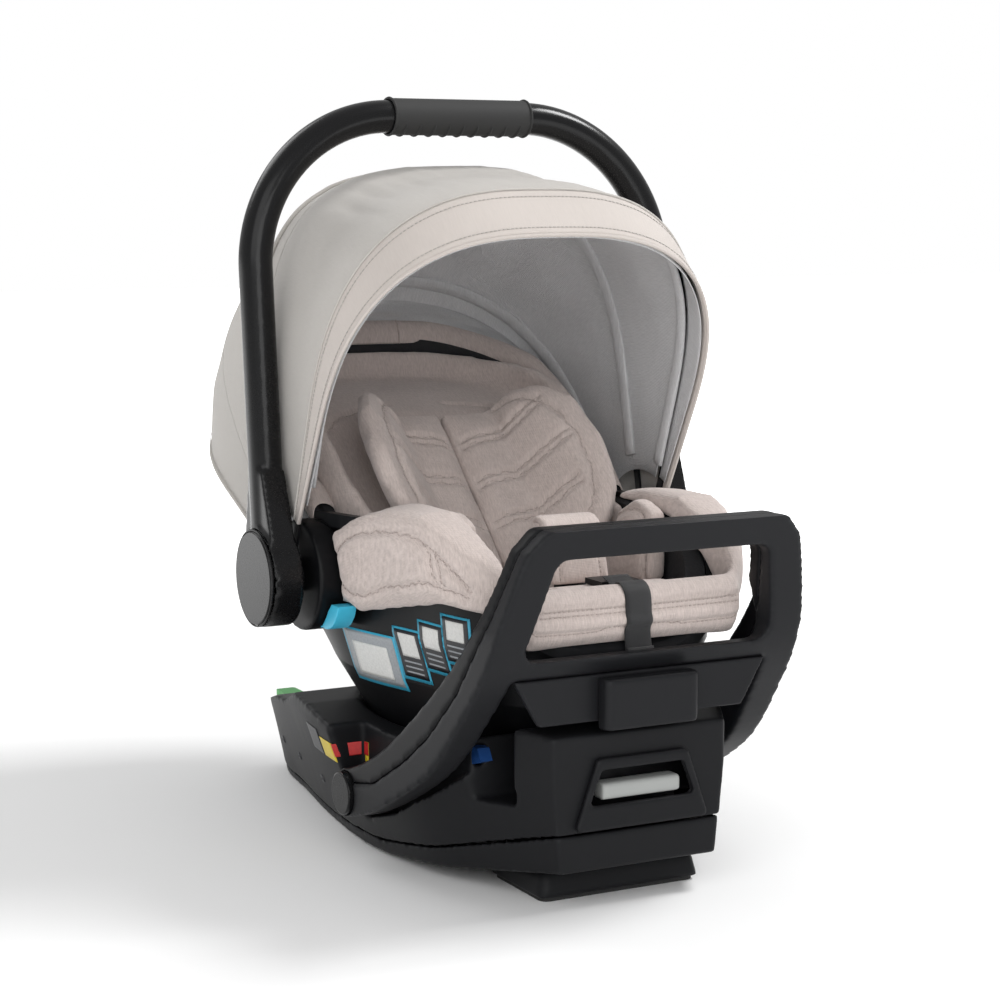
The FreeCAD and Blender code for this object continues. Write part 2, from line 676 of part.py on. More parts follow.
def bar_split():
    line = [(0.5 * (f[0] + r[0]), 0.5 * (f[1] + r[1])) for f, r in zip(BAR_FRONT[:5] + BAR_FRONT[6:], BAR_REAR)]
    start = (BAR_PIVOT[0] + 40, BAR_PIVOT[1])
    end = (line[-1][0] - 2, 400)
    return prism_x([start] + line[1:] + [end, (0, 400)], -220, 220)


def bar_front_frame():
    return biggest(BAR.cut(bar_split()))


def bar_rear_shell():
    return BAR.common(bar_split())


def bar_cross_panel():
    z0, z1 = 157.0, 196.0
    panel = prism_y([(-96, z0), (96, z0), (119, z1), (-119, z1)], BAR_BACK - 9, BAR_BACK)
    return biggest(panel.cut(BAR))


def bar_latch_block():
    block = box(-44, 44, BAR_BACK - 26, BAR_BACK - 9 - 0.05, 152, 194)
    block = block.cut(BAR)
    return rounded(biggest(block), 5, lambda e: along(V(0, 0, 1))(e) and e.BoundBox.YMax < BAR_BACK - 25.9)


def bar_button():
    disc = disc_x(BAR_DISC_R, 165, 172, *BAR_PIVOT)
    return rounded(disc, 1.5, lambda e: e.BoundBox.XMin > 171.9 and e.BoundBox.YLength > 30)


def bar_button_pocket():
    return disc_x(BAR_DISC_R + 0.5, 161, 175, *BAR_PIVOT)


# ---------------------------------------------------------------- build
os.makedirs("parts", exist_ok=True)

write("carrier_shell", carrier_shell())
write("shell_rim", shell_rim())
write("foam_liner", foam_liner())
write("seat_pad", padding(SEAT_FRONT, SEAT_SPLIT))
write("back_pad", back_pad())
write("front_roll", front_roll())
write("insert_back", insert_back())
for name, make in (("side_flap", side_flap), ("hip_bolster", hip_bolster), ("insert_wing", insert_wing),
                   ("hub_mount", hub_mount), ("hub_pin", hub_pin), ("carrier_guide", carrier_guide),
                   ("shoulder_strap", shoulder_strap), ("handle_button", handle_button),
                   ("belt_hook", belt_hook)):
    right = make()
    write(name + "_right", right)
    write(name + "_left", mirrored(right))
write("latch_bar_front", latch_bar(LATCH_FRONT))
write("latch_bar_rear", latch_bar(LATCH_REAR))
write("carrier_lever", carrier_lever())
write("chest_clip", chest_clip())
write("crotch_strap", crotch_strap())
write("buckle", buckle())
write("buckle_cover", buckle_cover())
write("buckle_button", buckle_button())
write("harness_adjuster", harness_adjuster())
write("adjuster_strap", adjuster_strap())

write("canopy_rear_panel", biggest(canopy_panel(REAR_EDGE, REAR_BOW).cut(KEEP_OUT)))
write("canopy_mid_panel", canopy_panel(REAR_BOW, MID_BOW))
write("canopy_front_panel", canopy_panel(MID_BOW, HEM_EDGE))
write("canopy_rear_bow", canopy_bow(REAR_BOW, 2))
write("canopy_mid_bow", canopy_bow(MID_BOW, 1))
write("canopy_front_bow", canopy_bow(FRONT_BOW, 0))

write("handle_frame", handle_frame())
write("handle_grip", handle_grip())

write("base_upper_cover", base_upper_cover())
write("base_lower_shell", base_lower_shell())
write("base_front_panel", base_front_panel())
write("recline_handle", recline_handle())
write("belt_lock_button", belt_lock_button())
write("base_hook_front", base_hook(LATCH_FRONT))
write("base_hook_rear", base_hook(LATCH_REAR))
write("recline_foot", recline_foot())
write("foot_pad", foot_pad())

BAR = bar_solid()
pockets = [bar_button_pocket(), mirrored(bar_button_pocket())]
BAR = BAR.cut(pockets)
write("bar_front_frame", bar_front_frame())
write("bar_rear_shell", bar_rear_shell())
write("bar_cross_panel", bar_cross_panel())
write("bar_latch_block", bar_latch_block())
write("bar_button_right", bar_button())
write("bar_button_left", mirrored(bar_button()))

total = Part.makeCompound(list(NODES.values())).BoundBox
print("box", [round(v, 1) for v in (total.XMin, total.XMax, total.YMin, total.YMax, total.ZMin, total.ZMax)])
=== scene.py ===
import math
from functools import cache

import bmesh
import bpy
import numpy as np
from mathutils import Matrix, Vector, noise
from mathutils.bvhtree import BVHTree
from mathutils.kdtree import KDTree


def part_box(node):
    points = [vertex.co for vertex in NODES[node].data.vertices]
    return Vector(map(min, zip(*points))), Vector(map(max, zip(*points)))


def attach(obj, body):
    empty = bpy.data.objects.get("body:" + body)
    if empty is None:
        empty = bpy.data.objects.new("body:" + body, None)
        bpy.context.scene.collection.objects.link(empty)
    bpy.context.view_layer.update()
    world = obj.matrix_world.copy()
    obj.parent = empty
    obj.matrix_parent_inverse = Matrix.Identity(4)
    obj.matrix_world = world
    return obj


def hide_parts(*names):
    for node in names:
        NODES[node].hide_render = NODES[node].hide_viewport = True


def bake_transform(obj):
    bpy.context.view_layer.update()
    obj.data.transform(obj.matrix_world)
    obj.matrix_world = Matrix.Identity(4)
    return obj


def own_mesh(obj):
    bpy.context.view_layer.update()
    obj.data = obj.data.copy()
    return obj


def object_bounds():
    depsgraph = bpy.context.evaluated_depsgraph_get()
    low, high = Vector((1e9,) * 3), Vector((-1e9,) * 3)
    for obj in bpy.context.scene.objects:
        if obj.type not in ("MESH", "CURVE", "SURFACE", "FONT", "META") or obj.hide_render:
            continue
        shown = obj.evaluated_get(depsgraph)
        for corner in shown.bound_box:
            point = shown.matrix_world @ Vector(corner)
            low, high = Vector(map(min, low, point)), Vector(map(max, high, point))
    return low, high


bl_info = {
    "name": "Infant Car Seat",
    "version": (1, 0, 0),
    "blender": (4, 5, 0),
    "location": "3D View > Sidebar > Car Seat",
    "description": "Fabric, finishes and small parts of an infant car seat around its frame",
    "category": "Object",
}

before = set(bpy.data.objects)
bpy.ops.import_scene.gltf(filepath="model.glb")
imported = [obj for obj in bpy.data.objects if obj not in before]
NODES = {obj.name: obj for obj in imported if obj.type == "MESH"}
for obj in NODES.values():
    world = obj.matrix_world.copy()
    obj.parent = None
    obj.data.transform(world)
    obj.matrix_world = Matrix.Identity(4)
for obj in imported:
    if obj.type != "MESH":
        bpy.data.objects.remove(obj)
CAD_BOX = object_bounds()

MM = 0.001
SIDES = (("left", -1), ("right", 1))

# ------------------------------------------------------------------ places taken from the frame
cap_low, cap_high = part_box("handle_button_left")
HUB = Vector((0, 0.5 * (cap_low.y + cap_high.y), 0.5 * (cap_low.z + cap_high.z)))
CAP_RADIUS = 0.5 * (cap_high.z - cap_low.z)
GRIP_LOW, GRIP_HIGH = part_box("handle_grip")
CANOPY_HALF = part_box("canopy_mid_panel")[1].x
FLOOR_Z = CAD_BOX[0][2]

# the seat's back: a straight plane that the insert lies on
BACK_FOOT = Vector((0, -34, 220)) * MM
BACK_UP = Vector((0, 0.7311, 0.6823))
BACK_OUT = Vector((0, -0.6823, 0.7311))
INSERT_GAP, INSERT_THICK, INSERT_HALF = 9 * MM, 15 * MM, 56 * MM
WING_TILT = math.radians(50)

# angles about the hub, forward positive, in degrees
REAR_EDGE, REAR_BOW, MID_BOW, FRONT_BOW, HEM_EDGE = -67.0, -45.0, -12.0, 20.0, 28.0
CANOPY_REACH = ((-67, 324), (-56, 360), (-45, 366), (-31, 375), (-17, 373), (-5, 368), (8, 365), (20, 363),
                (28, 343))
CANOPY_LEG = 150 * MM
RIM_MIDDLE = 60 * MM    # the rim's middle along Y
SQUARENESS = 2.7


# ------------------------------------------------------------------ shader tools
class Tree:
    """Short calls for building a node tree."""

    def __init__(self, tree):
        self.tree = tree

    def add(self, kind, **values):
        node = self.tree.nodes.new(kind)
        for key, value in values.items():
            setattr(node, key, value)
        return node

    def link(self, source, target):
        self.tree.links.new(source, target)

    def feed(self, value, socket):
        """Links an output, or sets a plain value."""
        if hasattr(value, "is_output"):
            self.link(value, socket)
        elif value is not None:
            socket.default_value = value

    def math(self, operation, a, b=None, clamp=False):
        node = self.add("ShaderNodeMath", operation=operation, use_clamp=clamp)
        self.feed(a, node.inputs[0])
        self.feed(b, node.inputs[1])
        return node.outputs[0]

    def mix(self, factor, a, b, blend="MIX"):
        node = self.add("ShaderNodeMix", data_type="RGBA", blend_type=blend)
        for index, value in ((0, factor), (6, a), (7, b)):
            self.feed(value, node.inputs[index])
        return node.outputs[2]

    def ramp(self, value, low, high):
        node = self.add("ShaderNodeMapRange")
        self.link(value, node.inputs["Value"])
        node.inputs["From Min"].default_value = low
        node.inputs["From Max"].default_value = high
        return node.outputs[0]

    def scaled(self, vector, scale, rotation=(0, 0, 0)):
        node = self.add("ShaderNodeMapping")
        self.link(vector, node.inputs["Vector"])
        node.inputs["Scale"].default_value = scale
        node.inputs["Rotation"].default_value = rotation
        return node.outputs[0]

    def noise(self, vector, scale, detail=2.0, roughness=0.5):
        node = self.add("ShaderNodeTexNoise")
        self.link(vector, node.inputs["Vector"])
        node.inputs["Scale"].default_value = scale
        node.inputs["Detail"].default_value = detail
        node.inputs["Roughness"].default_value = roughness
        return node.outputs["Fac"]

    def wave(self, vector, scale, direction="X", distortion=0.0):
        node = self.add("ShaderNodeTexWave", bands_direction=direction)
        self.link(vector, node.inputs["Vector"])
        node.inputs["Scale"].default_value = scale
        node.inputs["Distortion"].default_value = distortion
        node.inputs["Detail"].default_value = 1.0
        return node.outputs["Fac"]


def new_group(name, inputs, outputs, kind="ShaderNodeTree"):
    """inputs holds (name, socket, default) and outputs (name, socket); a socket with no value has default None."""
    group = bpy.data.node_groups.new(name, kind)
    for label, socket_kind, default in inputs:
        socket = group.interface.new_socket(label, in_out="INPUT", socket_type="NodeSocket" + socket_kind)
        if default is not None:
            socket.default_value = default
    for label, socket_kind in outputs:
        group.interface.new_socket(label, in_out="OUTPUT", socket_type="NodeSocket" + socket_kind)
    t = Tree(group)
    return group, t, t.add("NodeGroupInput").outputs, t.add("NodeGroupOutput").inputs


@cache
def moulded_grain():
    """Fine leather-like grain of moulded plastic, with slow changes of tone and gloss."""
    group, t, given, out = new_group("Moulded Grain", [
        ("Vector", "Vector", (0, 0, 0)), ("Color", "Color", (0.02, 0.02, 0.02, 1)),
        ("Grain Scale", "Float", 1400.0), ("Roughness", "Float", 0.4),
        ("Variation", "Float", 0.1)],
        [("Color", "Color"), ("Roughness", "Float"), ("Height", "Float")])
    cells = t.add("ShaderNodeTexVoronoi", feature="SMOOTH_F1")
    t.link(given["Vector"], cells.inputs["Vector"])
    t.link(given["Grain Scale"], cells.inputs["Scale"])
    pores = t.noise(given["Vector"], 900.0, 3.0)
    cloud = t.noise(given["Vector"], 9.0, 4.0)
    t.link(t.math("ADD", cells.outputs["Distance"], t.math("MULTIPLY", pores, 0.5)), out["Height"])
    swing = t.math("MULTIPLY", t.math("SUBTRACT", cloud, 0.5), given["Variation"])
    rough = t.math("ADD", given["Roughness"], swing)
    fine = t.math("MULTIPLY", t.math("SUBTRACT", pores, 0.5), 0.05)
    t.link(t.math("ADD", rough, fine), out["Roughness"])
    lift = t.math("ADD", 1.0, t.math("MULTIPLY", swing, 1.5))
    shade = t.add("ShaderNodeVectorMath", operation="SCALE")
    t.link(given["Color"], shade.inputs[0])
    t.link(lift, shade.inputs["Scale"])
    t.link(shade.outputs[0], out["Color"])
    return group


@cache
def edge_wear():
    """Lighter, polished arrises where hands and straps rub."""
    group, t, given, out = new_group("Edge Wear", [
        ("Vector", "Vector", (0, 0, 0)), ("Color", "Color", (0.02, 0.02, 0.02, 1)),
        ("Worn Color", "Color", (0.08, 0.08, 0.08, 1)), ("Amount", "Float", 0.5)],
        [("Color", "Color"), ("Mask", "Float")])
    point = t.add("ShaderNodeNewGeometry").outputs["Pointiness"]
    arris = t.ramp(point, 0.52, 0.60)
    patchy = t.ramp(t.noise(given["Vector"], 60.0, 4.0), 0.4, 0.7)
    mask = t.math("MULTIPLY", t.math("MULTIPLY", arris, patchy), given["Amount"], clamp=True)
    t.link(mask, out["Mask"])
    t.link(t.mix(mask, given["Color"], given["Worn Color"]), out["Color"])
    return group


@cache
def melange_knit():
    """Heathered knit: short streaks of lighter and darker yarn over fine wales."""
    group, t, given, out = new_group("Melange Knit", [
        ("Vector", "Vector", (0, 0, 0)), ("Light Yarn", "Color", (0.5, 0.4, 0.37, 1)),
        ("Dark Yarn", "Color", (0.3, 0.24, 0.22, 1)), ("Contrast", "Float", 0.8)],
        [("Color", "Color"), ("Height", "Float"), ("Roughness", "Float")])
    streak = t.noise(t.scaled(given["Vector"], (1.0, 0.10, 0.10)), 1500.0, 3.0, 0.65)
    short = t.noise(t.scaled(given["Vector"], (1.0, 0.22, 0.22)), 800.0, 2.0)
    cloud = t.noise(given["Vector"], 26.0, 3.0)
    both = t.math("ADD", t.math("MULTIPLY", streak, 0.6), t.math("MULTIPLY", short, 0.4))
    yarn = t.ramp(both, 0.36, 0.66)
    tone = t.math("MULTIPLY", yarn, given["Contrast"])
    tone = t.math("ADD", tone, t.math("MULTIPLY", t.math("SUBTRACT", cloud, 0.5), 0.35), clamp=True)
    t.link(t.mix(tone, given["Light Yarn"], given["Dark Yarn"]), out["Color"])
    wales = t.wave(given["Vector"], 260.0, "X", 0.6)
    courses = t.wave(given["Vector"], 240.0, "Z", 0.6)
    loops = t.math("MULTIPLY", wales, courses)
    t.link(t.math("ADD", loops, t.math("MULTIPLY", both, 0.7)), out["Height"])
    t.link(t.math("ADD", 0.78, t.math("MULTIPLY", cloud, 0.14)), out["Roughness"])
    return group


@cache
def plain_weave():
    """Woven cloth read from the piece's own UV map, laid out in metres."""
    group, t, given, out = new_group("Plain Weave", [
        ("Vector", "Vector", (0, 0, 0)), ("Color", "Color", (0.5, 0.5, 0.5, 1)),
        ("Shade", "Color", (0.4, 0.4, 0.4, 1)), ("Threads", "Float", 300.0)],
        [("Color", "Color"), ("Height", "Float")])
    fine = t.add("ShaderNodeVectorMath", operation="SCALE")
    t.link(given["Vector"], fine.inputs[0])
    t.link(given["Threads"], fine.inputs["Scale"])
    warp = t.wave(fine.outputs[0], 0.5, "X")
    weft = t.wave(fine.outputs[0], 0.5, "Y")
    weave = t.math("MULTIPLY", warp, weft)
    slub = t.noise(t.scaled(given["Vector"], (1.0, 0.1, 1.0)), 700.0, 3.0)
    cloud = t.noise(given["Vector"], 14.0, 4.0)
    t.link(t.math("ADD", weave, t.math("MULTIPLY", slub, 0.5)), out["Height"])
    tone = t.math("ADD", t.math("MULTIPLY", slub, 0.5), t.math("MULTIPLY", cloud, 0.4))
    tone = t.math("ADD", tone, t.math("MULTIPLY", weave, 0.35))
    t.link(t.mix(t.ramp(tone, 0.25, 0.95), given["Color"], given["Shade"]), out["Color"])
    return group


def one_per_name(make):
    """Keeps a second call with the same name from making a second material."""
    def get(name, *looks, **more):
        return bpy.data.materials.get(name) or make(name, *looks, **more)
    return get


def start_material(name):
    material = bpy.data.materials.new(name)
    material.use_nodes = True
    return material, Tree(material.node_tree), material.node_tree.nodes["Principled BSDF"]


def use_group(t, group, **links):
    node = t.add("ShaderNodeGroup", node_tree=group)
    for label, value in links.items():
        t.feed(value, node.inputs[label.replace("_", " ")])
    return node.outputs


def rgba(color):
    return (*color, 1.0)


def bump(t, shader, height, distance, strength=1.0):
    node = t.add("ShaderNodeBump")
    node.inputs["Distance"].default_value = distance
    node.inputs["Strength"].default_value = strength
    t.link(height, node.inputs["Height"])
    t.link(node.outputs["Normal"], shader.inputs["Normal"])


@one_per_name
def plastic(name, color, roughness=0.4, grain=1400.0, depth=0.00004, wear=0.4, coat=0.0, variation=0.05):
    material, t, shader = start_material(name)
    place = t.add("ShaderNodeTexCoord").outputs["Object"]
    skin = use_group(t, moulded_grain(), Vector=place, Color=rgba(color), Grain_Scale=grain,
                     Roughness=roughness, Variation=variation)
    pale = tuple(min(1.0, c * 2.2 + 0.02) for c in color)
    worn = use_group(t, edge_wear(), Vector=place, Color=skin["Color"], Worn_Color=rgba(pale), Amount=wear)
    t.link(worn["Color"], shader.inputs["Base Color"])
    t.link(skin["Roughness"], shader.inputs["Roughness"])
    shader.inputs["Specular IOR Level"].default_value = 0.14
    shader.inputs["Coat Weight"].default_value = coat
    shader.inputs["Coat Roughness"].default_value = 0.2
    bump(t, shader, skin["Height"], depth)
    return material


@one_per_name
def metal(name, color, roughness=0.3):
    material, t, shader = start_material(name)
    place = t.add("ShaderNodeTexCoord").outputs["Object"]
    brushed = t.noise(t.scaled(place, (0.04, 1.0, 1.0)), 1500.0, 3.0)
    shader.inputs["Metallic"].default_value = 1.0
    t.link(t.mix(brushed, rgba(color), rgba(tuple(c * 0.7 for c in color))), shader.inputs["Base Color"])
    t.link(t.math("ADD", roughness - 0.1, t.math("MULTIPLY", brushed, 0.2)), shader.inputs["Roughness"])
    bump(t, shader, brushed, 0.00002)
    return material


@one_per_name
def knit(name, light, dark, contrast=0.8):
    material, t, shader = start_material(name)
    place = t.add("ShaderNodeTexCoord").outputs["Object"]
    cloth = use_group(t, melange_knit(), Vector=place, Light_Yarn=rgba(light), Dark_Yarn=rgba(dark),
                      Contrast=contrast)
    t.link(cloth["Color"], shader.inputs["Base Color"])
    t.link(cloth["Roughness"], shader.inputs["Roughness"])
    shader.inputs["Sheen Weight"].default_value = 0.25
    shader.inputs["Sheen Roughness"].default_value = 0.5
    shader.inputs["Specular IOR Level"].default_value = 0.25
    bump(t, shader, cloth["Height"], 0.00025)
    return material


@one_per_name
def woven(name, light, dark, threads=900.0, depth=0.00015, roughness=0.75, sheen=0.15):
    material, t, shader = start_material(name)
    place = t.add("ShaderNodeUVMap").outputs["UV"]
    cloth = use_group(t, plain_weave(), Vector=place, Color=rgba(light), Shade=rgba(dark), Threads=threads)
    t.link(cloth["Color"], shader.inputs["Base Color"])
    shader.inputs["Roughness"].default_value = roughness
    shader.inputs["Sheen Weight"].default_value = sheen
    shader.inputs["Specular IOR Level"].default_value = 0.3
    bump(t, shader, cloth["Height"], depth)
    return material


@one_per_name
def printed(name, color, second, roughness=0.35):
    """Vinyl label stock with faint print mottling."""
    material, t, shader = start_material(name)
    place = t.add("ShaderNodeTexCoord").outputs["Object"]
    mottle = t.noise(place, 500.0, 4.0)
    t.link(t.mix(t.ramp(mottle, 0.35, 0.7), rgba(color), rgba(second)), shader.inputs["Base Color"])
    t.link(t.math("ADD", roughness - 0.08, t.math("MULTIPLY", mottle, 0.16)), shader.inputs["Roughness"])
    bump(t, shader, mottle, 0.00003)
    return material


# ------------------------------------------------------------------ mesh tools
def keep(obj, body, slot):
    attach(obj, body)
    return obj


def link_mesh(name, mesh, material=None):
    obj = bpy.data.objects.new(name, mesh)
    bpy.context.scene.collection.objects.link(obj)
    if material:
        mesh.materials.clear()
        mesh.materials.append(material)
    mesh.polygons.foreach_set("use_smooth", [True] * len(mesh.polygons))
    return obj


def solid(name, points, faces, material=None):
    mesh = bpy.data.meshes.new(name)
    mesh.from_pydata([tuple(p) for p in points], [], faces)
    mesh.validate()
    mesh.update()
    return link_mesh(name, mesh, material)


def bake(obj):
    """Applies every modifier on obj."""
    graph = bpy.context.evaluated_depsgraph_get()
    mesh = bpy.data.meshes.new_from_object(obj.evaluated_get(graph))
    obj.modifiers.clear()
    if obj.type == "MESH":
        old = obj.data
        obj.data = mesh
        bpy.data.meshes.remove(old)
        return obj
    name = obj.name
    bpy.data.objects.remove(obj)
    return link_mesh(name, mesh)


def modify(obj, kind, **values):
    modifier = obj.modifiers.new(kind.lower(), kind)
    for key, value in values.items():
        setattr(modifier, key, value)
    return modifier


def subdivide(obj, levels=1):
    modify(obj, "SUBSURF", levels=levels, render_levels=levels)
    return bake(obj)


def coords(obj):
    flat = np.empty(len(obj.data.vertices) * 3)
    obj.data.vertices.foreach_get("co", flat)
    return flat.reshape(-1, 3)


def set_coords(obj, points):
    obj.data.vertices.foreach_set("co", np.asarray(points, float).ravel())
    obj.data.update()


def normals(obj):
    flat = np.empty(len(obj.data.vertices) * 3)
    obj.data.vertex_normals.foreach_get("vector", flat)
    return flat.reshape(-1, 3)


def grid(name, rows, material=None, wrap=False, uv=None):
    """A sheet through rows of points. uv gives each row's and column's place in metres."""
    height, width = len(rows), len(rows[0])
    faces = []
    for i in range(height - 1):
        for j in range(width if wrap else width - 1):
            k = (j + 1) % width
            faces.append((i * width + j, i * width + k, (i + 1) * width + k, (i + 1) * width + j))
    obj = solid(name, [p for row in rows for p in row], faces, material)
    if uv:
        layer = obj.data.uv_layers.new(name="UVMap")
        for loop in obj.data.loops:
            i, j = divmod(loop.vertex_index, width)
            layer.data[loop.index].uv = uv(i, j)
    return obj


def thicken(obj, thickness, offset=-1.0):
    modify(obj, "SOLIDIFY", thickness=thickness, offset=offset, use_even_offset=False)
    return bake(obj)


def merged_copy(name, nodes):
    """One welded mesh from the CAD nodes, with faces turned outwards."""
    bm = bmesh.new()
    for node in nodes:
        bm.from_mesh(NODES[node].data)
    bmesh.ops.remove_doubles(bm, verts=bm.verts, dist=1e-5)
    bmesh.ops.recalc_face_normals(bm, faces=bm.faces)
    mesh = bpy.data.meshes.new(name)
    bm.to_mesh(mesh)
    bm.free()
    return link_mesh(name, mesh)


def soften(name, nodes, material, body, voxel=0.002, smooth=5, shrink=0.0):
    """A moulded part with rounded edges that stands for sharp-edged CAD nodes."""
    obj = merged_copy(name, nodes)
    modify(obj, "REMESH", mode="VOXEL", voxel_size=voxel, use_smooth_shade=True)
    bake(obj)
    relax(obj, 0.5, smooth)
    if shrink:
        set_coords(obj, coords(obj) - normals(obj) * shrink)
    obj.data.materials.clear()
    obj.data.materials.append(material)
    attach(obj, body)
    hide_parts(*nodes)
    return obj


def surface_of(obj):
    graph = bpy.context.evaluated_depsgraph_get()
    return BVHTree.FromObject(obj, graph)


def along(points, step=0.002):
    """Points spaced evenly along a polyline."""
    points = [Vector(p) for p in points]
    line = [points[0]]
    for a, b in zip(points, points[1:]):
        count = max(1, int(round((b - a).length / step)))
        line += [a.lerp(b, i / count) for i in range(1, count + 1)]
    return line


def curve_through(points, steps=10):
    """A smooth line through a few points."""
    p = [Vector(q) for q in points]
    p = [p[0] * 2 - p[1]] + p + [p[-1] * 2 - p[-2]]
    line = []
    for a, b, c, d in zip(p, p[1:], p[2:], p[3:]):
        for i in range(steps):
            t = i / steps
            line.append(0.5 * ((2 * b) + (c - a) * t + (2 * a - 5 * b + 4 * c - d) * t * t
                               + (3 * b - 3 * c + d - a) * t ** 3))
    return line + [p[-2]]


def snap(obj, line, lift=0.0):
    """The line laid on obj's surface."""
    tree = surface_of(obj)
    laid = []
    for point in line:
        place, normal, _, _ = tree.find_nearest(point)
        if place is not None:
            laid.append(place + normal * lift)
    return laid


def carve(obj, lines, depth, width):
    """Presses sewn channels into a padded surface."""
    samples = [q for line in lines for q in along(line, 0.0015)]
    tree = KDTree(len(samples))
    for i, q in enumerate(samples):
        tree.insert(q, i)
    tree.balance()
    points, outward = coords(obj), normals(obj)
    for i, point in enumerate(points):
        _, _, distance = tree.find(point)
        if distance < 3 * width:
            points[i] = point - outward[i] * depth * math.exp(-(distance / width) ** 2)
    set_coords(obj, points)
    return obj


def relax(obj, factor=0.5, repeat=6):
    modify(obj, "SMOOTH", factor=factor, iterations=repeat)
    return bake(obj)


def stuff(obj, pressure=4.0, cap=0.006, frames=20):
    """Inflates a padded cover with Cloth and keeps each point within cap of where it started."""
    scene = bpy.context.scene
    start, outward = coords(obj), normals(obj)
    cloth = obj.modifiers.new("stuffing", "CLOTH")
    settings = cloth.settings
    settings.quality = 4
    settings.mass = 0.2
    settings.use_pressure = True
    settings.uniform_pressure_force = pressure
    settings.tension_stiffness = 20
    settings.compression_stiffness = 20
    settings.bending_stiffness = 2
    settings.effector_weights.gravity = 0.0
    cloth.collision_settings.use_collision = False
    cloth.point_cache.frame_start = 1
    cloth.point_cache.frame_end = frames
    for number in range(1, frames + 1):
        scene.frame_set(number)
    graph = bpy.context.evaluated_depsgraph_get()
    shaped = obj.evaluated_get(graph).to_mesh()
    flat = np.empty(len(shaped.vertices) * 3)
    shaped.vertices.foreach_get("co", flat)
    move = flat.reshape(-1, 3) - start
    obj.evaluated_get(graph).to_mesh_clear()
    obj.modifiers.clear()
    scene.frame_set(1)
    swell = np.clip((move * outward).sum(axis=1, keepdims=True), 0.0, cap)
    set_coords(obj, start + outward * swell)
    return obj


def cushion(name, nodes, material, shrink=0.002, voxel=0.005, pressure=4.0, cap=0.006, smooth=8):
    """A padded cover grown from the closed solids that hold its place."""
    return pad_from(merged_copy(name, nodes), material, shrink, voxel, pressure, cap, smooth)


def pad_from(obj, material, shrink=0.002, voxel=0.005, pressure=4.0, cap=0.006, smooth=8):
    modify(obj, "REMESH", mode="VOXEL", voxel_size=voxel, use_smooth_shade=True)
    bake(obj)
    relax(obj, 0.5, smooth)
    set_coords(obj, coords(obj) - normals(obj) * shrink)
    stuff(obj, pressure, cap)
    relax(obj, 0.5, 6)
    subdivide(obj)
    obj.data.materials.clear()
    obj.data.materials.append(material)
    return obj


# ------------------------------------------------------------------ geometry node trees
@cache
def stitch_tree():
    """Short threads laid end to end along a sewn line."""
    tree, t, given, out = new_group("Stitch Row", [
        ("Geometry", "Geometry", None), ("Pitch", "Float", 0.004), ("Length", "Float", 0.003),
        ("Thread", "Float", 0.00045), ("Material", "Material", None)],
        [("Geometry", "Geometry")], "GeometryNodeTree")
    curve = t.add("GeometryNodeMeshToCurve")
    t.link(given["Geometry"], curve.inputs["Mesh"])
    points = t.add("GeometryNodeCurveToPoints", mode="LENGTH")
    t.link(curve.outputs[0], points.inputs["Curve"])
    t.link(given["Pitch"], points.inputs["Length"])
    thread = t.add("GeometryNodeMeshCylinder", fill_type="NGON")
    thread.inputs["Vertices"].default_value = 5
    t.link(given["Thread"], thread.inputs["Radius"])
    t.link(given["Length"], thread.inputs["Depth"])
    place = t.add("GeometryNodeInstanceOnPoints")
    t.link(points.outputs["Points"], place.inputs["Points"])
    t.link(thread.outputs["Mesh"], place.inputs["Instance"])
    turn = t.add("FunctionNodeAlignRotationToVector", axis="Z")
    t.link(points.outputs["Tangent"], turn.inputs["Vector"])
    t.link(turn.outputs[0], place.inputs["Rotation"])
    finish_tree(t, place.outputs[0], given, out)
    return tree


@cache
def place_tree():
    """One small part set on every point, turned to the point's own direction."""
    tree, t, given, out = new_group("Place On Points", [
        ("Geometry", "Geometry", None), ("Part", "Object", None), ("Size", "Float", 1.0),
        ("Material", "Material", None)],
        [("Geometry", "Geometry")], "GeometryNodeTree")
    part = t.add("GeometryNodeObjectInfo")
    t.link(given["Part"], part.inputs["Object"])
    way = t.add("GeometryNodeInputNamedAttribute", data_type="FLOAT_VECTOR")
    way.inputs["Name"].default_value = "facing"
    turn = t.add("FunctionNodeAlignRotationToVector", axis="Z")
    t.link(way.outputs["Attribute"], turn.inputs["Vector"])
    place = t.add("GeometryNodeInstanceOnPoints")
    t.link(given["Geometry"], place.inputs["Points"])
    t.link(part.outputs["Geometry"], place.inputs["Instance"])
    t.link(turn.outputs[0], place.inputs["Rotation"])
    t.link(given["Size"], place.inputs["Scale"])
    finish_tree(t, place.outputs[0], given, out)
    return tree


def finish_tree(t, geometry, given, out):
    real = t.add("GeometryNodeRealizeInstances")
    paint = t.add("GeometryNodeSetMaterial")
    t.link(geometry, real.inputs[0])
    t.link(real.outputs[0], paint.inputs["Geometry"])
    t.link(given["Material"], paint.inputs["Material"])
    t.link(paint.outputs[0], out[0])


def run_tree(obj, tree, **values):
    """Adds the tree, sets its inputs by socket identifier, and makes the result a plain mesh."""
    modifier = obj.modifiers.new(tree.name, "NODES")
    modifier.node_group = tree
    for item in tree.interface.items_tree:
        if item.item_type == "SOCKET" and item.in_out == "INPUT" and item.name in values:
            modifier[item.identifier] = values[item.name]
    obj.update_tag()
    bake(obj)
    obj.data.polygons.foreach_set("use_smooth", [True] * len(obj.data.polygons))
    return obj


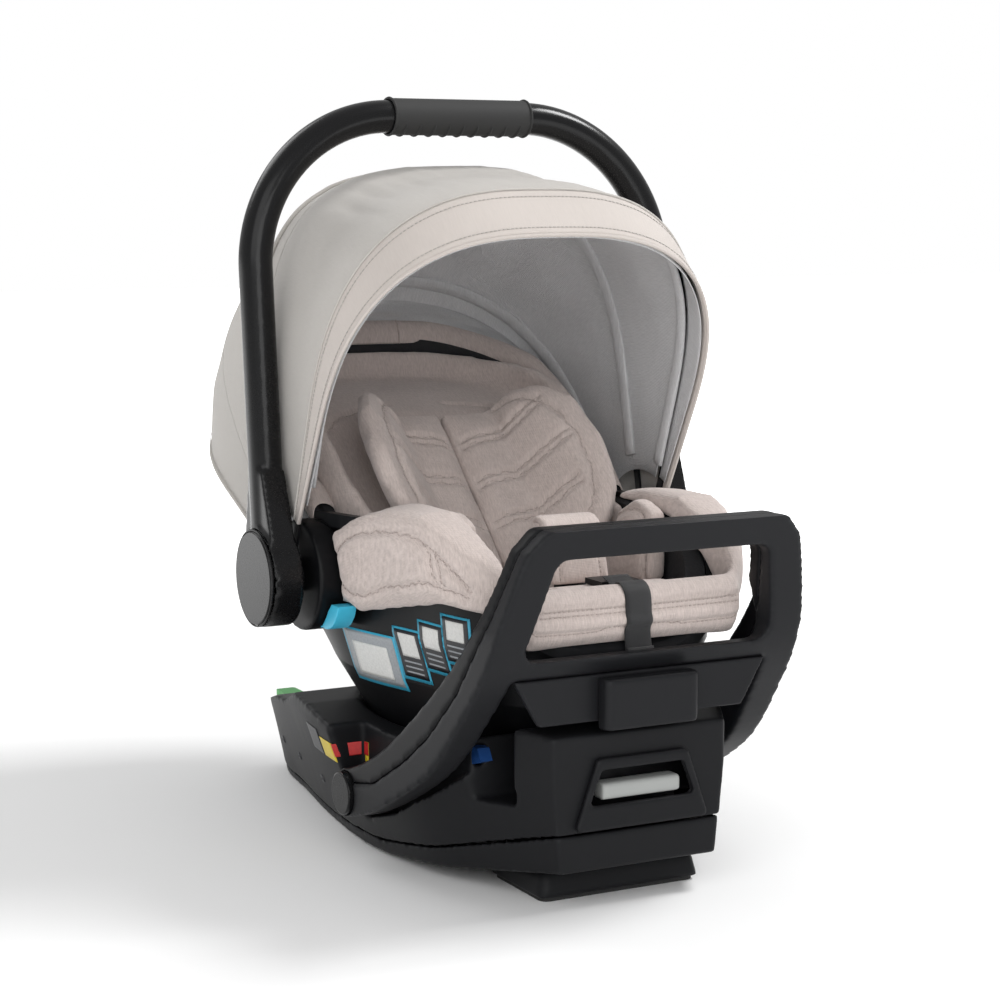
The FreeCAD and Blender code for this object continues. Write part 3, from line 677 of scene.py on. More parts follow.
def stitches(name, lines, material, body, slot, pitch=0.0042, length=0.003, thread=0.0004):
    points, edges = [], []
    for line in lines:
        base = len(points)
        points += [tuple(p) for p in line]
        edges += [(base + i, base + i + 1) for i in range(len(line) - 1)]
    mesh = bpy.data.meshes.new(name)
    mesh.from_pydata(points, edges, [])
    obj = link_mesh(name, mesh)
    run_tree(obj, stitch_tree(), Pitch=pitch, Length=length, Thread=thread, Material=material)
    return keep(obj, body, slot)


def scatter_parts(name, spots, part, material, body, slot, size=1.0):
    """spots is a list of (place, facing) pairs."""
    mesh = bpy.data.meshes.new(name)
    mesh.from_pydata([tuple(p) for p, _ in spots], [], [])
    facing = mesh.attributes.new("facing", "FLOAT_VECTOR", "POINT")
    facing.data.foreach_set("vector", [c for _, f in spots for c in f])
    obj = link_mesh(name, mesh)
    run_tree(obj, place_tree(), Part=part, Size=size, Material=material)
    return keep(obj, body, slot)


# ------------------------------------------------------------------ seat places
def on_back(x, up, out):
    return BACK_FOOT + Vector((x, 0, 0)) + BACK_UP * up + BACK_OUT * out


def on_wing(side, up, across, out=0.0):
    """A place on the inner face of a wing: up along the back, across from its root to its edge."""
    root = BACK_FOOT + BACK_OUT * (INSERT_GAP + INSERT_THICK / 2)
    c, s = math.cos(WING_TILT), math.sin(WING_TILT)
    spread = Vector((side * c, 0, 0)) + BACK_OUT * s
    face = Vector((-side * s, 0, 0)) + BACK_OUT * c
    start = root + Vector((side * (INSERT_HALF + 0.0005), 0, 0))
    return start + BACK_UP * up + spread * (across + 0.002) + face * (INSERT_THICK / 2 + out)


def reach_at(angle):
    return float(np.interp(angle, [a for a, _ in CANOPY_REACH], [r for _, r in CANOPY_REACH])) * MM


def polar(x, r, angle):
    a = math.radians(angle)
    return Vector((x, HUB.y - r * math.sin(a), HUB.z + r * math.cos(a)))


def hoop_shape(t):
    """(sideways share, share of the rise) of a canopy hoop, t from 0 at one leg to 1 at the other."""
    a = math.pi * t
    c, s = math.cos(a), math.sin(a)
    return math.copysign(abs(c) ** (2 / SQUARENESS), c), max(s, 0.0) ** (2 / SQUARENESS)


def bow_sag(angle):
    """How far the cloth falls in between two bows, from 0 on a bow to 1 midway."""
    bows = (REAR_EDGE, REAR_BOW, -17.0, MID_BOW, FRONT_BOW, HEM_EDGE)
    for a, b in zip(bows, bows[1:]):
        if a <= angle <= b:
            return math.sin(math.pi * (angle - a) / (b - a)) ** 2 * min(1.0, (b - a) / 30)
    return 0.0


def wrinkle(x, angle, strength):
    """Soft folds that run from the hubs up over the cloth."""
    slow = noise.noise(Vector((x * 9, angle * 0.055, 2.3)))
    fold = noise.noise(Vector((x * 24, angle * 0.035 + 4 * x, 7.1)))
    fine = noise.noise(Vector((x * 60, angle * 0.16, 1.9)))
    return strength * (0.9 * slow + 0.55 * fold + 0.16 * fine)


def canopy_point(t, angle, inset=0.0, start=0.056, sag=0.008, folds=0.006):
    side, rise = hoop_shape(t)
    half = CANOPY_HALF - inset
    reach = reach_at(angle) - inset
    r = CANOPY_LEG + (reach - CANOPY_LEG) * rise
    level = math.sin(math.pi * t)
    held = float(np.interp(angle, (REAR_BOW - 10, REAR_BOW), (0.1, 1.0)))
    drop = sag * bow_sag(angle) * level
    drop += folds * (0.5 + wrinkle(side * 0.5, angle, 1.0)) * level * (0.15 + 0.85 * bow_sag(angle))
    drop *= held
    return polar(side * (half - drop * 0.3), max(r - drop, start), angle)


def canopy_row(angle, steps, inset, start, **shape):
    """One hoop of cloth with its straight legs, from one hub to the other."""
    legs = 6
    first = canopy_point(0.0, angle, inset, start, **shape)
    low = polar(first.x, start, angle)
    row = [low.lerp(first, i / legs) for i in range(legs)]
    row += [canopy_point(i / steps, angle, inset, start, **shape) for i in range(steps + 1)]
    last = row[-1]
    end = polar(last.x, start, angle)
    row += [last.lerp(end, i / legs) for i in range(1, legs + 1)]
    return row


def canopy_sheet(name, a0, a1, material, inset=0.0, thickness=0.0012, start=0.056, steps=150, pitch=0.75, **shape):
    count = max(4, int(round((a1 - a0) / pitch)))
    angles = [a0 + (a1 - a0) * i / count for i in range(count + 1)]
    rows = [canopy_row(a, steps, inset, start, **shape) for a in angles]
    widths = np.cumsum([0] + [(b - a).length for a, b in zip(rows[0], rows[0][1:])])
    depth = math.radians(pitch) * 0.33
    obj = grid(name, rows, material, uv=lambda i, j: (widths[j], i * depth))
    flip_outward(obj)
    return thicken(obj, thickness)


def flip_outward(obj):
    """Turns a sheet's faces away from the seat's middle."""
    middle = Vector((0, HUB.y, HUB.z))
    total = sum((p.center - middle).dot(p.normal) * p.area for p in obj.data.polygons)
    if total < 0:
        obj.data.flip_normals()
    return obj


def close_ends(obj):
    """Fills open ends and turns the faces outwards."""
    bm = bmesh.new()
    bm.from_mesh(obj.data)
    bmesh.ops.holes_fill(bm, edges=[e for e in bm.edges if e.is_boundary])
    bmesh.ops.recalc_face_normals(bm, faces=bm.faces)
    bm.to_mesh(obj.data)
    bm.free()


def tube(name, path, radius, material, sides=8, flat=1.0, up=None):
    """A round or oval bead swept along a path, with closed ends."""
    path = [Vector(p) for p in path]
    rows = []
    for i, point in enumerate(path):
        ahead = path[min(i + 1, len(path) - 1)] - path[max(i - 1, 0)]
        ahead.normalize()
        side = ahead.cross(up if up else Vector((0, 0, 1)))
        if side.length < 1e-4:
            side = ahead.cross(Vector((1, 0, 0)))
        side.normalize()
        lift = side.cross(ahead).normalized()
        r = radius(i / (len(path) - 1)) if callable(radius) else radius
        rows.append([point + side * (r * math.cos(2 * math.pi * k / sides))
                     + lift * (r * flat * math.sin(2 * math.pi * k / sides)) for k in range(sides)])
    obj = grid(name, rows, material, wrap=True)
    close_ends(obj)
    obj.data.polygons.foreach_set("use_smooth", [True] * len(obj.data.polygons))
    return obj


def ribbon(name, path, width, thickness, material, across=Vector((1, 0, 0))):
    """Flat webbing along a path, with a rounded edge and a UV map in metres."""
    path = [Vector(p) for p in path]
    profile = ((-0.5, 0), (-0.47, 0.4), (-0.3, 0.5), (0, 0.5), (0.3, 0.5), (0.47, 0.4), (0.5, 0), (0.47, -0.4),
               (0.3, -0.5), (0, -0.5), (-0.3, -0.5), (-0.47, -0.4))
    rows, run = [], [0.0]
    for i, point in enumerate(path):
        ahead = (path[min(i + 1, len(path) - 1)] - path[max(i - 1, 0)]).normalized()
        up = ahead.cross(across).normalized()
        rows.append([point + across * (u * width) + up * (v * thickness) for u, v in profile])
        if i:
            run.append(run[-1] + (point - path[i - 1]).length)
    count = len(profile)
    obj = grid(name, rows, material, wrap=True, uv=lambda i, j: (profile[j % count][0] * width, run[i]))
    close_ends(obj)
    return obj


def decal(name, node, corners, steps, material, body, slot, push=Vector((-1, 0, 0)), lift=0.0005):
    """A thin label laid on a CAD part: corners is a list of outline points, in order."""
    tree = BVHTree.FromPolygons([v.co for v in NODES[node].data.vertices],
                                [tuple(p.vertices) for p in NODES[node].data.polygons])
    (a, b, c, d) = [Vector(p) for p in corners]
    rows = []
    for i in range(steps + 1):
        row = []
        left, right = a.lerp(d, i / steps), b.lerp(c, i / steps)
        for j in range(steps + 1):
            point = left.lerp(right, j / steps)
            hit, _, _, _ = tree.ray_cast(point + push * 0.2, -push)
            row.append((hit if hit is not None else point) + push * lift)
        rows.append(row)
    obj = grid(name, rows, material)
    if sum(p.normal.dot(push) for p in obj.data.polygons) < 0:
        obj.data.flip_normals()
    thicken(obj, 0.0003)
    return keep(obj, body, slot)


def finish_nodes(material, *names):
    for name in names:
        data = NODES[name].data
        data.materials.clear()
        data.materials.append(material)


def settings():
    return bpy.context.scene.car_seat_finish


# ------------------------------------------------------------------ settings
class CarSeatFinish(bpy.types.PropertyGroup):
    shell_color: bpy.props.FloatVectorProperty(
        name="Shell Colour", description="Colour of the black carrier shell", subtype="COLOR",
        default=(0.005, 0.0052, 0.006), min=0, max=1)
    base_color: bpy.props.FloatVectorProperty(
        name="Base Colour", description="Colour of the base's charcoal covers", subtype="COLOR",
        default=(0.010, 0.0103, 0.0117), min=0, max=1)
    bar_color: bpy.props.FloatVectorProperty(
        name="Bar Colour", description="Colour of the anti-rebound bar's front frame", subtype="COLOR",
        default=(0.0125, 0.0128, 0.0145), min=0, max=1)
    canopy_color: bpy.props.FloatVectorProperty(
        name="Canopy Colour", description="Main colour of the canopy cloth", subtype="COLOR",
        default=(0.50, 0.475, 0.445), min=0, max=1)
    hem_color: bpy.props.FloatVectorProperty(
        name="Hem Colour", description="Colour of the canopy's front band", subtype="COLOR",
        default=(0.55, 0.50, 0.465), min=0, max=1)
    lining_color: bpy.props.FloatVectorProperty(
        name="Lining Colour", description="Colour of the mesh lining", subtype="COLOR",
        default=(0.80, 0.80, 0.81), min=0, max=1)
    seat_color: bpy.props.FloatVectorProperty(
        name="Seat Colour", description="Light yarn of the padded seat cover", subtype="COLOR",
        default=(0.62, 0.535, 0.50), min=0, max=1)
    seat_shade: bpy.props.FloatVectorProperty(
        name="Seat Shade", description="Dark yarn of the padded seat cover", subtype="COLOR",
        default=(0.42, 0.355, 0.33), min=0, max=1)
    stitch_pitch: bpy.props.FloatProperty(
        name="Stitch Pitch", description="Distance from one stitch to the next", unit="LENGTH",
        default=0.0042, min=0.001)
    channel_depth: bpy.props.FloatProperty(
        name="Channel Depth", description="Depth of a sewn channel", unit="LENGTH", default=0.0032, min=0.0)
    webbing_width: bpy.props.FloatProperty(
        name="Webbing Width", description="Width of the adjuster strap", unit="LENGTH", default=0.025, min=0.005)
    rib_count: bpy.props.IntProperty(
        name="Grip Ribs", description="Number of ribs under the handle's grip", default=9, min=2)


def shell_material():
    return plastic("carrier_shell_black", settings().shell_color, 0.36, 1500, 0.00003, 0.3)


def base_material():
    return plastic("base_charcoal", settings().base_color, 0.45, 1300, 0.00005, 0.5)


def bar_material():
    return plastic("bar_charcoal", settings().bar_color, 0.42, 1300, 0.00004, 0.5)


def black_material():
    return plastic("deep_black_plastic", (0.005, 0.005, 0.006), 0.38, 1500, 0.00003, 0.3)


def handle_material():
    return plastic("handle_semi_gloss", (0.005, 0.005, 0.0055), 0.27, 1800, 0.000005, 0.35, coat=0.25)


def rubber_material():
    return plastic("grip_rubber", (0.022, 0.022, 0.025), 0.58, 1000, 0.00006, 0.1)


def grey_material():
    return plastic("recline_grey", (0.36, 0.37, 0.36), 0.42, 1300, 0.00004, 0.3)


def cyan_material():
    return plastic("guide_cyan", (0.012, 0.30, 0.56), 0.35, 1400, 0.00003, 0.2)


def seat_material():
    return knit("seat_melange", settings().seat_color, settings().seat_shade)


def thread_material():
    return knit("sewing_thread", (0.46, 0.39, 0.36), (0.36, 0.30, 0.28), 0.6)


def webbing_material():
    return woven("black_webbing", (0.018, 0.018, 0.020), (0.006, 0.006, 0.007), 1400, 0.00025, 0.5, 0.2)


# ------------------------------------------------------------------ stage
class CARSEAT_OT_stage(bpy.types.Operator):
    """Pale floor, soft studio light and the main camera"""
    bl_idname = "carseat.stage"
    bl_label = "Stage"

    def execute(self, context):
        scene = context.scene
        size = 12.0
        floor = solid("floor", [(-size, -size, FLOOR_Z), (size, -size, FLOOR_Z), (size, size, FLOOR_Z),
                                (-size, size, FLOOR_Z)], [(0, 1, 2, 3)], self.floor_material())
        world = bpy.data.worlds.new("studio")
        world.use_nodes = True
        t = Tree(world.node_tree)
        backdrop = world.node_tree.nodes["Background"]
        backdrop.inputs["Color"].default_value = (1.0, 1.0, 1.0, 1.0)
        seen = t.add("ShaderNodeLightPath").outputs["Is Camera Ray"]
        t.link(t.math("ADD", 0.52, t.math("MULTIPLY", seen, 0.48)), backdrop.inputs["Strength"])
        scene.world = world
        self.lamp("key", (1.9, -0.4, 2.7), 0.9, 66)
        self.lamp("fill", (-2.1, -1.9, 1.9), 2.0, 20)
        self.lamp("rim", (-0.9, 2.2, 2.3), 1.6, 18)
        self.lamp("front", (-0.7, -2.6, 1.1), 1.4, 16)
        camera = bpy.data.cameras.new("main")
        camera.lens = 82.8
        camera.sensor_width = 36
        holder = bpy.data.objects.new("main", camera)
        holder.location = (-0.958, -1.859, 0.579)
        holder.rotation_euler = (math.radians(82.49), 0, math.radians(-27.57))
        scene.collection.objects.link(holder)
        scene.camera = holder
        scene.view_settings.view_transform = "Standard"
        return {"FINISHED"}

    def floor_material(self):
        material, t, shader = start_material("studio_floor")
        place = t.add("ShaderNodeTexCoord").outputs["Object"]
        mottle = t.noise(place, 3.0, 3.0)
        t.link(t.mix(mottle, (0.93, 0.93, 0.93, 1), (0.97, 0.97, 0.97, 1)), shader.inputs["Base Color"])
        shader.inputs["Roughness"].default_value = 0.75
        shader.inputs["Emission Color"].default_value = (1, 1, 1, 1)
        away = t.add("ShaderNodeVectorMath", operation="LENGTH")
        t.link(place, away.inputs[0])
        t.link(t.ramp(away.outputs["Value"], 0.75, 2.2), shader.inputs["Emission Strength"])
        return material

    def lamp(self, name, place, size, watts):
        light = bpy.data.lights.new(name, "AREA")
        light.size = size
        light.energy = watts
        obj = bpy.data.objects.new(name, light)
        obj.location = place
        aim = Vector((0, 0, 0.3)) - Vector(place)
        obj.rotation_euler = aim.to_track_quat("-Z", "Y").to_euler()
        bpy.context.scene.collection.objects.link(obj)


# ------------------------------------------------------------------ hard parts
class CARSEAT_OT_hard_parts(bpy.types.Operator):
    """Finishes on every part that keeps its own shape"""
    bl_idname = "carseat.hard_parts"
    bl_label = "Hard Parts"
    finished = ("carrier_shell", "hub_mount_left", "hub_mount_right", "shell_rim", "handle_frame", "handle_grip",
                "base_upper_cover")

    def execute(self, context):
        finish_nodes(shell_material(), "carrier_shell", "hub_mount_left", "hub_mount_right")
        finish_nodes(plastic("rim_black", (0.013, 0.0135, 0.015), 0.42, 1500, 0.00003, 0.3), "shell_rim")
        finish_nodes(handle_material(), "handle_frame")
        finish_nodes(rubber_material(), "handle_grip")
        finish_nodes(base_material(), "base_upper_cover")
        for name in NODES:
            if name not in self.finished:
                self.by_slot(name)
        return {"FINISHED"}

    def by_slot(self, name):
        slot = NODES[name].data.materials[0].name.split(".")[0]
        finishes = {
            "base_plastic": base_material, "bar_plastic": bar_material, "shell_plastic": shell_material,
            "handle_plastic": handle_material, "grip_rubber": rubber_material,
            "belt_blue": lambda: plastic("belt_guide_blue", (0.010, 0.045, 0.16), 0.35, 1400, 0.00003, 0.2),
            "guide_cyan": cyan_material,
            "lock_green": lambda: plastic("lock_green", (0.02, 0.36, 0.06), 0.35, 1400, 0.00003, 0.2),
            "buckle_red": lambda: plastic("buckle_red", (0.45, 0.012, 0.012), 0.3, 1400, 0.00003, 0.2),
            "handle_grey": grey_material,
            "steel": lambda: metal("bright_steel", (0.62, 0.62, 0.63)),
            "foam": lambda: plastic("foam_bead", (0.028, 0.028, 0.030), 0.85, 420, 0.0004, 0.0),
            "canopy_bow_plastic": black_material,
            "webbing": black_material,
        }
        if slot in finishes:
            finish_nodes(finishes[slot](), name)


class CARSEAT_OT_rounded_parts(bpy.types.Operator):
    """Moulded covers, bar and foot with rounded edges"""
    bl_idname = "carseat.rounded_parts"
    bl_label = "Rounded Parts"

    def execute(self, context):
        base, bar, black = base_material(), bar_material(), black_material()
        grey, cyan = grey_material(), cyan_material()
        for name, node, material, body, slot, voxel, smooth in (
                ("bar_frame_cover", "bar_front_frame", bar, "bar", "bar_plastic", 2.0, 9),
                ("bar_back_cover", "bar_rear_shell", black, "bar", "bar_plastic", 2.0, 9),
                ("bar_panel_cover", "bar_cross_panel", bar, "bar", "bar_plastic", 2.0, 6),
                ("bar_latch_cover", "bar_latch_block", bar, "bar", "bar_plastic", 2.0, 9),
                ("base_tray_cover", "base_lower_shell", base, "base", "base_plastic", 2.0, 9),
                ("base_top_cover", "base_upper_cover", base, "base", "base_plastic", 2.3, 8),
                ("base_window_frame", "base_front_panel", base, "base", "base_plastic", 1.8, 6),
                ("foot_cover", "recline_foot", base, "recline_foot", "base_plastic", 2.0, 10),
                ("recline_grip", "recline_handle", grey, "recline_handle", "handle_grey", 1.2, 6)):
            soften(name, [node], material, body, voxel * MM, smooth)
        for name, _ in SIDES:
            soften("belt_crescent_" + name, ["carrier_guide_" + name], cyan, "carrier", 0.0015, 14,
                   0.0022)
            soften("hub_shoulder_" + name, ["hub_mount_" + name], shell_material(), "carrier",
                   0.002, 5)
        soften("handle_tube", ["handle_frame"], handle_material(), "handle", 0.0022, 4)
        return {"FINISHED"}


# ------------------------------------------------------------------ canopy
def hang(obj, body, ahead, a0, a1):
    """Rides on body; a piece that has a body ahead of it only gets its transform baked and rides on neither. a0 and a1
    are not used.
    """
    if ahead:
        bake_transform(obj)
    else:
        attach(obj, body)


class CARSEAT_OT_canopy(bpy.types.Operator):
    """The canopy's cloth, its front band, piping and rear skirt"""
    bl_idname = "carseat.canopy"
    bl_label = "Canopy"

    def execute(self, context):
        values = settings()
        light = tuple(values.canopy_color)
        cloth = woven("canopy_cloth", light, tuple(c * 0.82 for c in light), 1100, 0.00008, 0.68, 0.2)
        band = tuple(values.hem_color)
        hem_cloth = woven("canopy_band_cloth", band, tuple(c * 0.84 for c in band), 1100, 0.00008, 0.68, 0.2)
        thread = knit("canopy_thread", tuple(c * 0.80 for c in light), tuple(c * 0.66 for c in light), 0.5)

        for name, a0, a1, body, ahead, length, bow, node in (
                ("canopy_rear", REAR_EDGE, REAR_BOW, "carrier", None, 0.92, "canopy_rear_bow", "canopy_rear_panel"),
                ("canopy_middle", REAR_BOW, MID_BOW, "carrier", "canopy_mid", 0.96, "canopy_mid_bow",
                 "canopy_mid_panel"),
                ("canopy_front", MID_BOW, FRONT_BOW, "canopy_mid", "canopy_front", 0.96, "canopy_front_bow",
                 "canopy_front_panel")):
            gore = canopy_sheet(name, a0, a1, cloth)
            hang(gore, body, ahead, a0, a1)
            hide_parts(node)

        band_piece = canopy_sheet("canopy_band", FRONT_BOW - 0.2, HEM_EDGE, hem_cloth, inset=-0.0006,
                                  thickness=0.0030, sag=0.0, folds=0.0012)
        keep(band_piece, "canopy_front", "canopy_fabric")

        self.piping("canopy_piping_front", HEM_EDGE, 0.0, 0.0017, hem_cloth, "canopy_front")
        self.piping("canopy_piping_seam", FRONT_BOW, -0.0009, 0.0011, cloth, "canopy_front")
        self.piping("canopy_piping_rear", REAR_EDGE, 0.0, 0.0020, cloth, "carrier")
        for name, angle, body in (("canopy_stitch_band", FRONT_BOW + 1.4, "canopy_front"),
                                  ("canopy_stitch_hem", HEM_EDGE - 1.2, "canopy_front"),
                                  ("canopy_stitch_rear", REAR_EDGE + 1.6, "carrier")):
            row = canopy_row(angle, 150, -0.0010, 0.058, sag=0.0 if body == "canopy_front" else 0.008,
                             folds=0.0012 if body == "canopy_front" else 0.006)
            stitches(name, [row], thread, body, "canopy_fabric", 0.0040, 0.0028, 0.00035)
        self.ridge(cloth)
        return {"FINISHED"}

    def piping(self, name, angle, inset, radius, material, body):
        front = body == "canopy_front"
        row = canopy_row(angle, 150, inset, 0.057, sag=0.0 if front else 0.008, folds=0.0012 if front else 0.006)
        cord = tube(name, row, radius, material, 8, up=Vector((1, 0.3, 0.1)))
        add_flat_uv(cord)
        keep(cord, body, "canopy_fabric")

    def ridge(self, material):
        """The raised seam over the top, just behind the middle bow."""
        row = [canopy_point(i / 120, -17.0, -0.0012) for i in range(8, 113)]
        cord = tube("canopy_ridge", row, 0.0022, material, 8, up=Vector((1, 0.3, 0.1)))
        add_flat_uv(cord)
        hang(cord, "carrier", "canopy_mid", REAR_BOW, MID_BOW)


def add_flat_uv(obj):
    """A UV map in metres, seen from the side that each face looks to."""
    layer = obj.data.uv_layers.get("UVMap") or obj.data.uv_layers.new(name="UVMap")
    for face in obj.data.polygons:
        n = [abs(c) for c in face.normal]
        axis = n.index(max(n))
        keep = [k for k in range(3) if k != axis]
        for loop in face.loop_indices:
            point = obj.data.vertices[obj.data.loops[loop].vertex_index].co
            layer.data[loop].uv = (point[keep[0]], point[keep[1]])


class CARSEAT_OT_lining(bpy.types.Operator):
    """The mesh lining under the canopy and the sleeves that hold its bows"""
    bl_idname = "carseat.lining"
    bl_label = "Canopy Lining"

    def execute(self, context):
        light = tuple(settings().lining_color)
        mesh_cloth = woven("lining_mesh", light, tuple(c * 0.55 for c in light), 420, 0.0005, 0.42, 0.35)
        sleeve_cloth = woven("sleeve_mesh", tuple(c * 0.92 for c in light), tuple(c * 0.5 for c in light),
                             520, 0.0005, 0.4, 0.3)
        spans = (("lining_rear", REAR_BOW - 7, REAR_BOW, "carrier", None),
                 ("lining_middle", REAR_BOW, MID_BOW, "carrier", "canopy_mid"),
                 ("lining_front", MID_BOW, FRONT_BOW, "canopy_mid", "canopy_front"))
        for name, a0, a1, body, ahead in spans:
            sheet = canopy_sheet(name, a0, a1, mesh_cloth, inset=0.0095, thickness=0.0006, start=0.075,
                                 steps=110, pitch=1.2, sag=0.012, folds=0.006)
            hang(sheet, body, ahead, a0, a1)
            self.lining(sheet)
        self.skirt(mesh_cloth)
        lip = canopy_sheet("lining_lip", FRONT_BOW - 0.1, HEM_EDGE - 0.5, mesh_cloth, inset=0.0052,
                           thickness=0.0006, start=0.075, steps=110, pitch=1.2, sag=0.0, folds=0.0012)
        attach(lip, "canopy_front")
        self.lining(lip)
        for name, angle, body, width in (("sleeve_rear", REAR_BOW, "carrier", 0.016),
                                         ("sleeve_middle", MID_BOW, "canopy_mid", 0.016),
                                         ("sleeve_front", FRONT_BOW, "canopy_front", 0.014)):
            row = canopy_row(angle, 110, 0.0100, 0.09, sag=0.0, folds=0.0)
            sleeve = tube(name, row, width / 2, sleeve_cloth, 12, flat=0.42, up=Vector((1, 0.001, 0.001)))
            self.flatten(sleeve, row, angle, width / 2)
            add_flat_uv(sleeve)
            keep(sleeve, body, "canopy_fabric")
        return {"FINISHED"}

    def skirt(self, material):
        """The lining's rear panel, which falls from the rear edge to the top of the seat cover."""
        steps = 110
        top = canopy_row(REAR_BOW - 4.0, steps, 0.0125, 0.075, sag=0.0, folds=0.0)
        crest = [p for p in rim_crest() if p.y > 0.062]
        around = [math.atan2(p.y - RIM_MIDDLE, p.x) for p in crest]
        feet = []
        for point in top:
            a = math.atan2(point.y - RIM_MIDDLE, point.x)
            foot = Vector([float(np.interp(a, around, [p[k] for p in crest])) for k in range(3)])
            inward = Vector((-math.cos(a), -math.sin(a), 0))
            feet.append(foot + inward * 0.013 + Vector((0, 0, 0.0045)))
        rows = []
        for level in range(17):
            share = level / 16
            row = []
            for i, (point, foot) in enumerate(zip(top, feet)):
                t = i / (len(top) - 1)
                sag = 0.010 * math.sin(math.pi * share) * math.sin(math.pi * t)
                sway = sag * noise.noise(Vector((t * 14, share * 2, 3.3)))
                row.append(point.lerp(foot, share) + Vector((0, sway, 0)))
            rows.append(row)
        sheet = grid("lining_skirt", rows, material, uv=lambda i, j: (j * 0.007, i * 0.008))
        thicken(sheet, 0.0006)
        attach(sheet, "carrier")
        self.lining(sheet)

    def lining(self, sheet):
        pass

    def flatten(self, sleeve, row, angle, half):
        """Rebuilds the sleeve's section so its width lies along the cloth and its depth points to the hub."""
        a = math.radians(angle)
        wide = Vector((0, -math.cos(a), -math.sin(a)))
        sides = 12
        points = []
        for i, point in enumerate(row):
            ahead = (row[min(i + 1, len(row) - 1)] - row[max(i - 1, 0)]).normalized()
            deep = ahead.cross(wide).normalized()
            if deep.dot(point - HUB) > 0:
                deep.negate()
            for k in range(sides):
                c, s = math.cos(2 * math.pi * k / sides), math.sin(2 * math.pi * k / sides)
                points.append(point + wide * (half * c) + deep * (0.0030 * s + 0.0012))
        set_coords(sleeve, [tuple(p) for p in points])
        bm = bmesh.new()
        bm.from_mesh(sleeve.data)
        bmesh.ops.recalc_face_normals(bm, faces=bm.faces)
        bm.to_mesh(sleeve.data)
        bm.free()


# ------------------------------------------------------------------ seat padding
def rim_crest():
    """The top of the shell's rim, from hub to hub round the head end."""
    rim = [v.co for v in NODES["shell_rim"].data.vertices]
    crest = []
    for degrees in range(-12, 193, 3):
        a = math.radians(degrees)
        near = [c for c in rim if abs(math.remainder(math.atan2(c.y - RIM_MIDDLE, c.x) - a, 2 * math.pi)) < 0.07]
        if near:
            crest.append(max(near, key=lambda c: c.z + 0.6 * math.hypot(c.x, c.y - RIM_MIDDLE)))
    line = along(curve_through(crest, 5), 0.004)
    for _ in range(12):
        line = [line[0]] + [(a + b * 2 + c) / 4 for a, b, c in zip(line, line[1:], line[2:])] + [line[-1]]
    return line


def sewn(obj, lines, body="carrier", pair=0.0, depth=None, width=0.0034, lift=0.0002):
    """Carves channels along the lines and lays a row of stitches in each."""
    values = settings()
    depth = values.channel_depth if depth is None else depth
    laid = [snap(obj, along(line, 0.004)) for line in lines]
    carve(obj, laid, depth, width)
    rows = [snap(obj, line, lift) for line in laid]
    stitches(obj.name + "_stitches", rows, thread_material(), body, "seat_fabric", values.stitch_pitch)
    return obj


def seat_piece(obj, body, *nodes, fill=0.6):
    keep(obj, body, "seat_fabric")
    if nodes:
        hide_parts(*nodes)
    return obj


class CARSEAT_OT_liner(bpy.types.Operator):
    """The cover's back and seat, under the insert"""
    bl_idname = "carseat.liner"
    bl_label = "Liner"

    def execute(self, context):
        back = cushion("liner_back", ["back_pad"], seat_material(), shrink=0.002, pressure=3, cap=0.005)
        lines = []
        for side in (-1, 1):
            lines.append(curve_through([(side * 0.030, 0.150, 0.384), (side * 0.085, 0.128, 0.384),
                                        (side * 0.118, 0.085, 0.362), (side * 0.128, 0.040, 0.325)]))
        sewn(back, lines)
        seat_piece(back, "carrier", "back_pad", fill=0.5)
        seat = cushion("liner_seat", ["seat_pad"], seat_material(), shrink=0.0015, pressure=3, cap=0.005)
        lines = [[(side * 0.052, -0.225, 0.262), (side * 0.058, -0.120, 0.240), (side * 0.060, -0.050, 0.232)]
                 for side in (-1, 1)]
        lines.append([(-0.09, -0.150, 0.246), (0.09, -0.150, 0.246)])
        sewn(seat, lines)
        seat_piece(seat, "carrier", "seat_pad")
        self.rolled_edge()
        return {"FINISHED"}

    def rolled_edge(self):
        """The cover's edge, which wraps over the shell's rim from hub to hub round the head end."""
        line = rim_crest()
        section = ((-0.029, -0.018), (-0.027, -0.006), (-0.021, 0.0025), (-0.012, 0.0065), (-0.004, 0.0065),
                   (0.0015, 0.003), (0.003, -0.005), (0.0028, -0.013))
        rows = []
        for point in line:
            out = Vector((point.x, point.y - RIM_MIDDLE, 0)).normalized()
            rows.append([point + out * o + Vector((0, 0, u)) for o, u in section])
        edge = grid("liner_edge", rows, seat_material(), uv=lambda i, j: (i * 0.004, j * 0.007))
        flip_outward(edge)
        thicken(edge, 0.0016)
        subdivide(edge)
        keep(edge, "carrier", "seat_fabric")


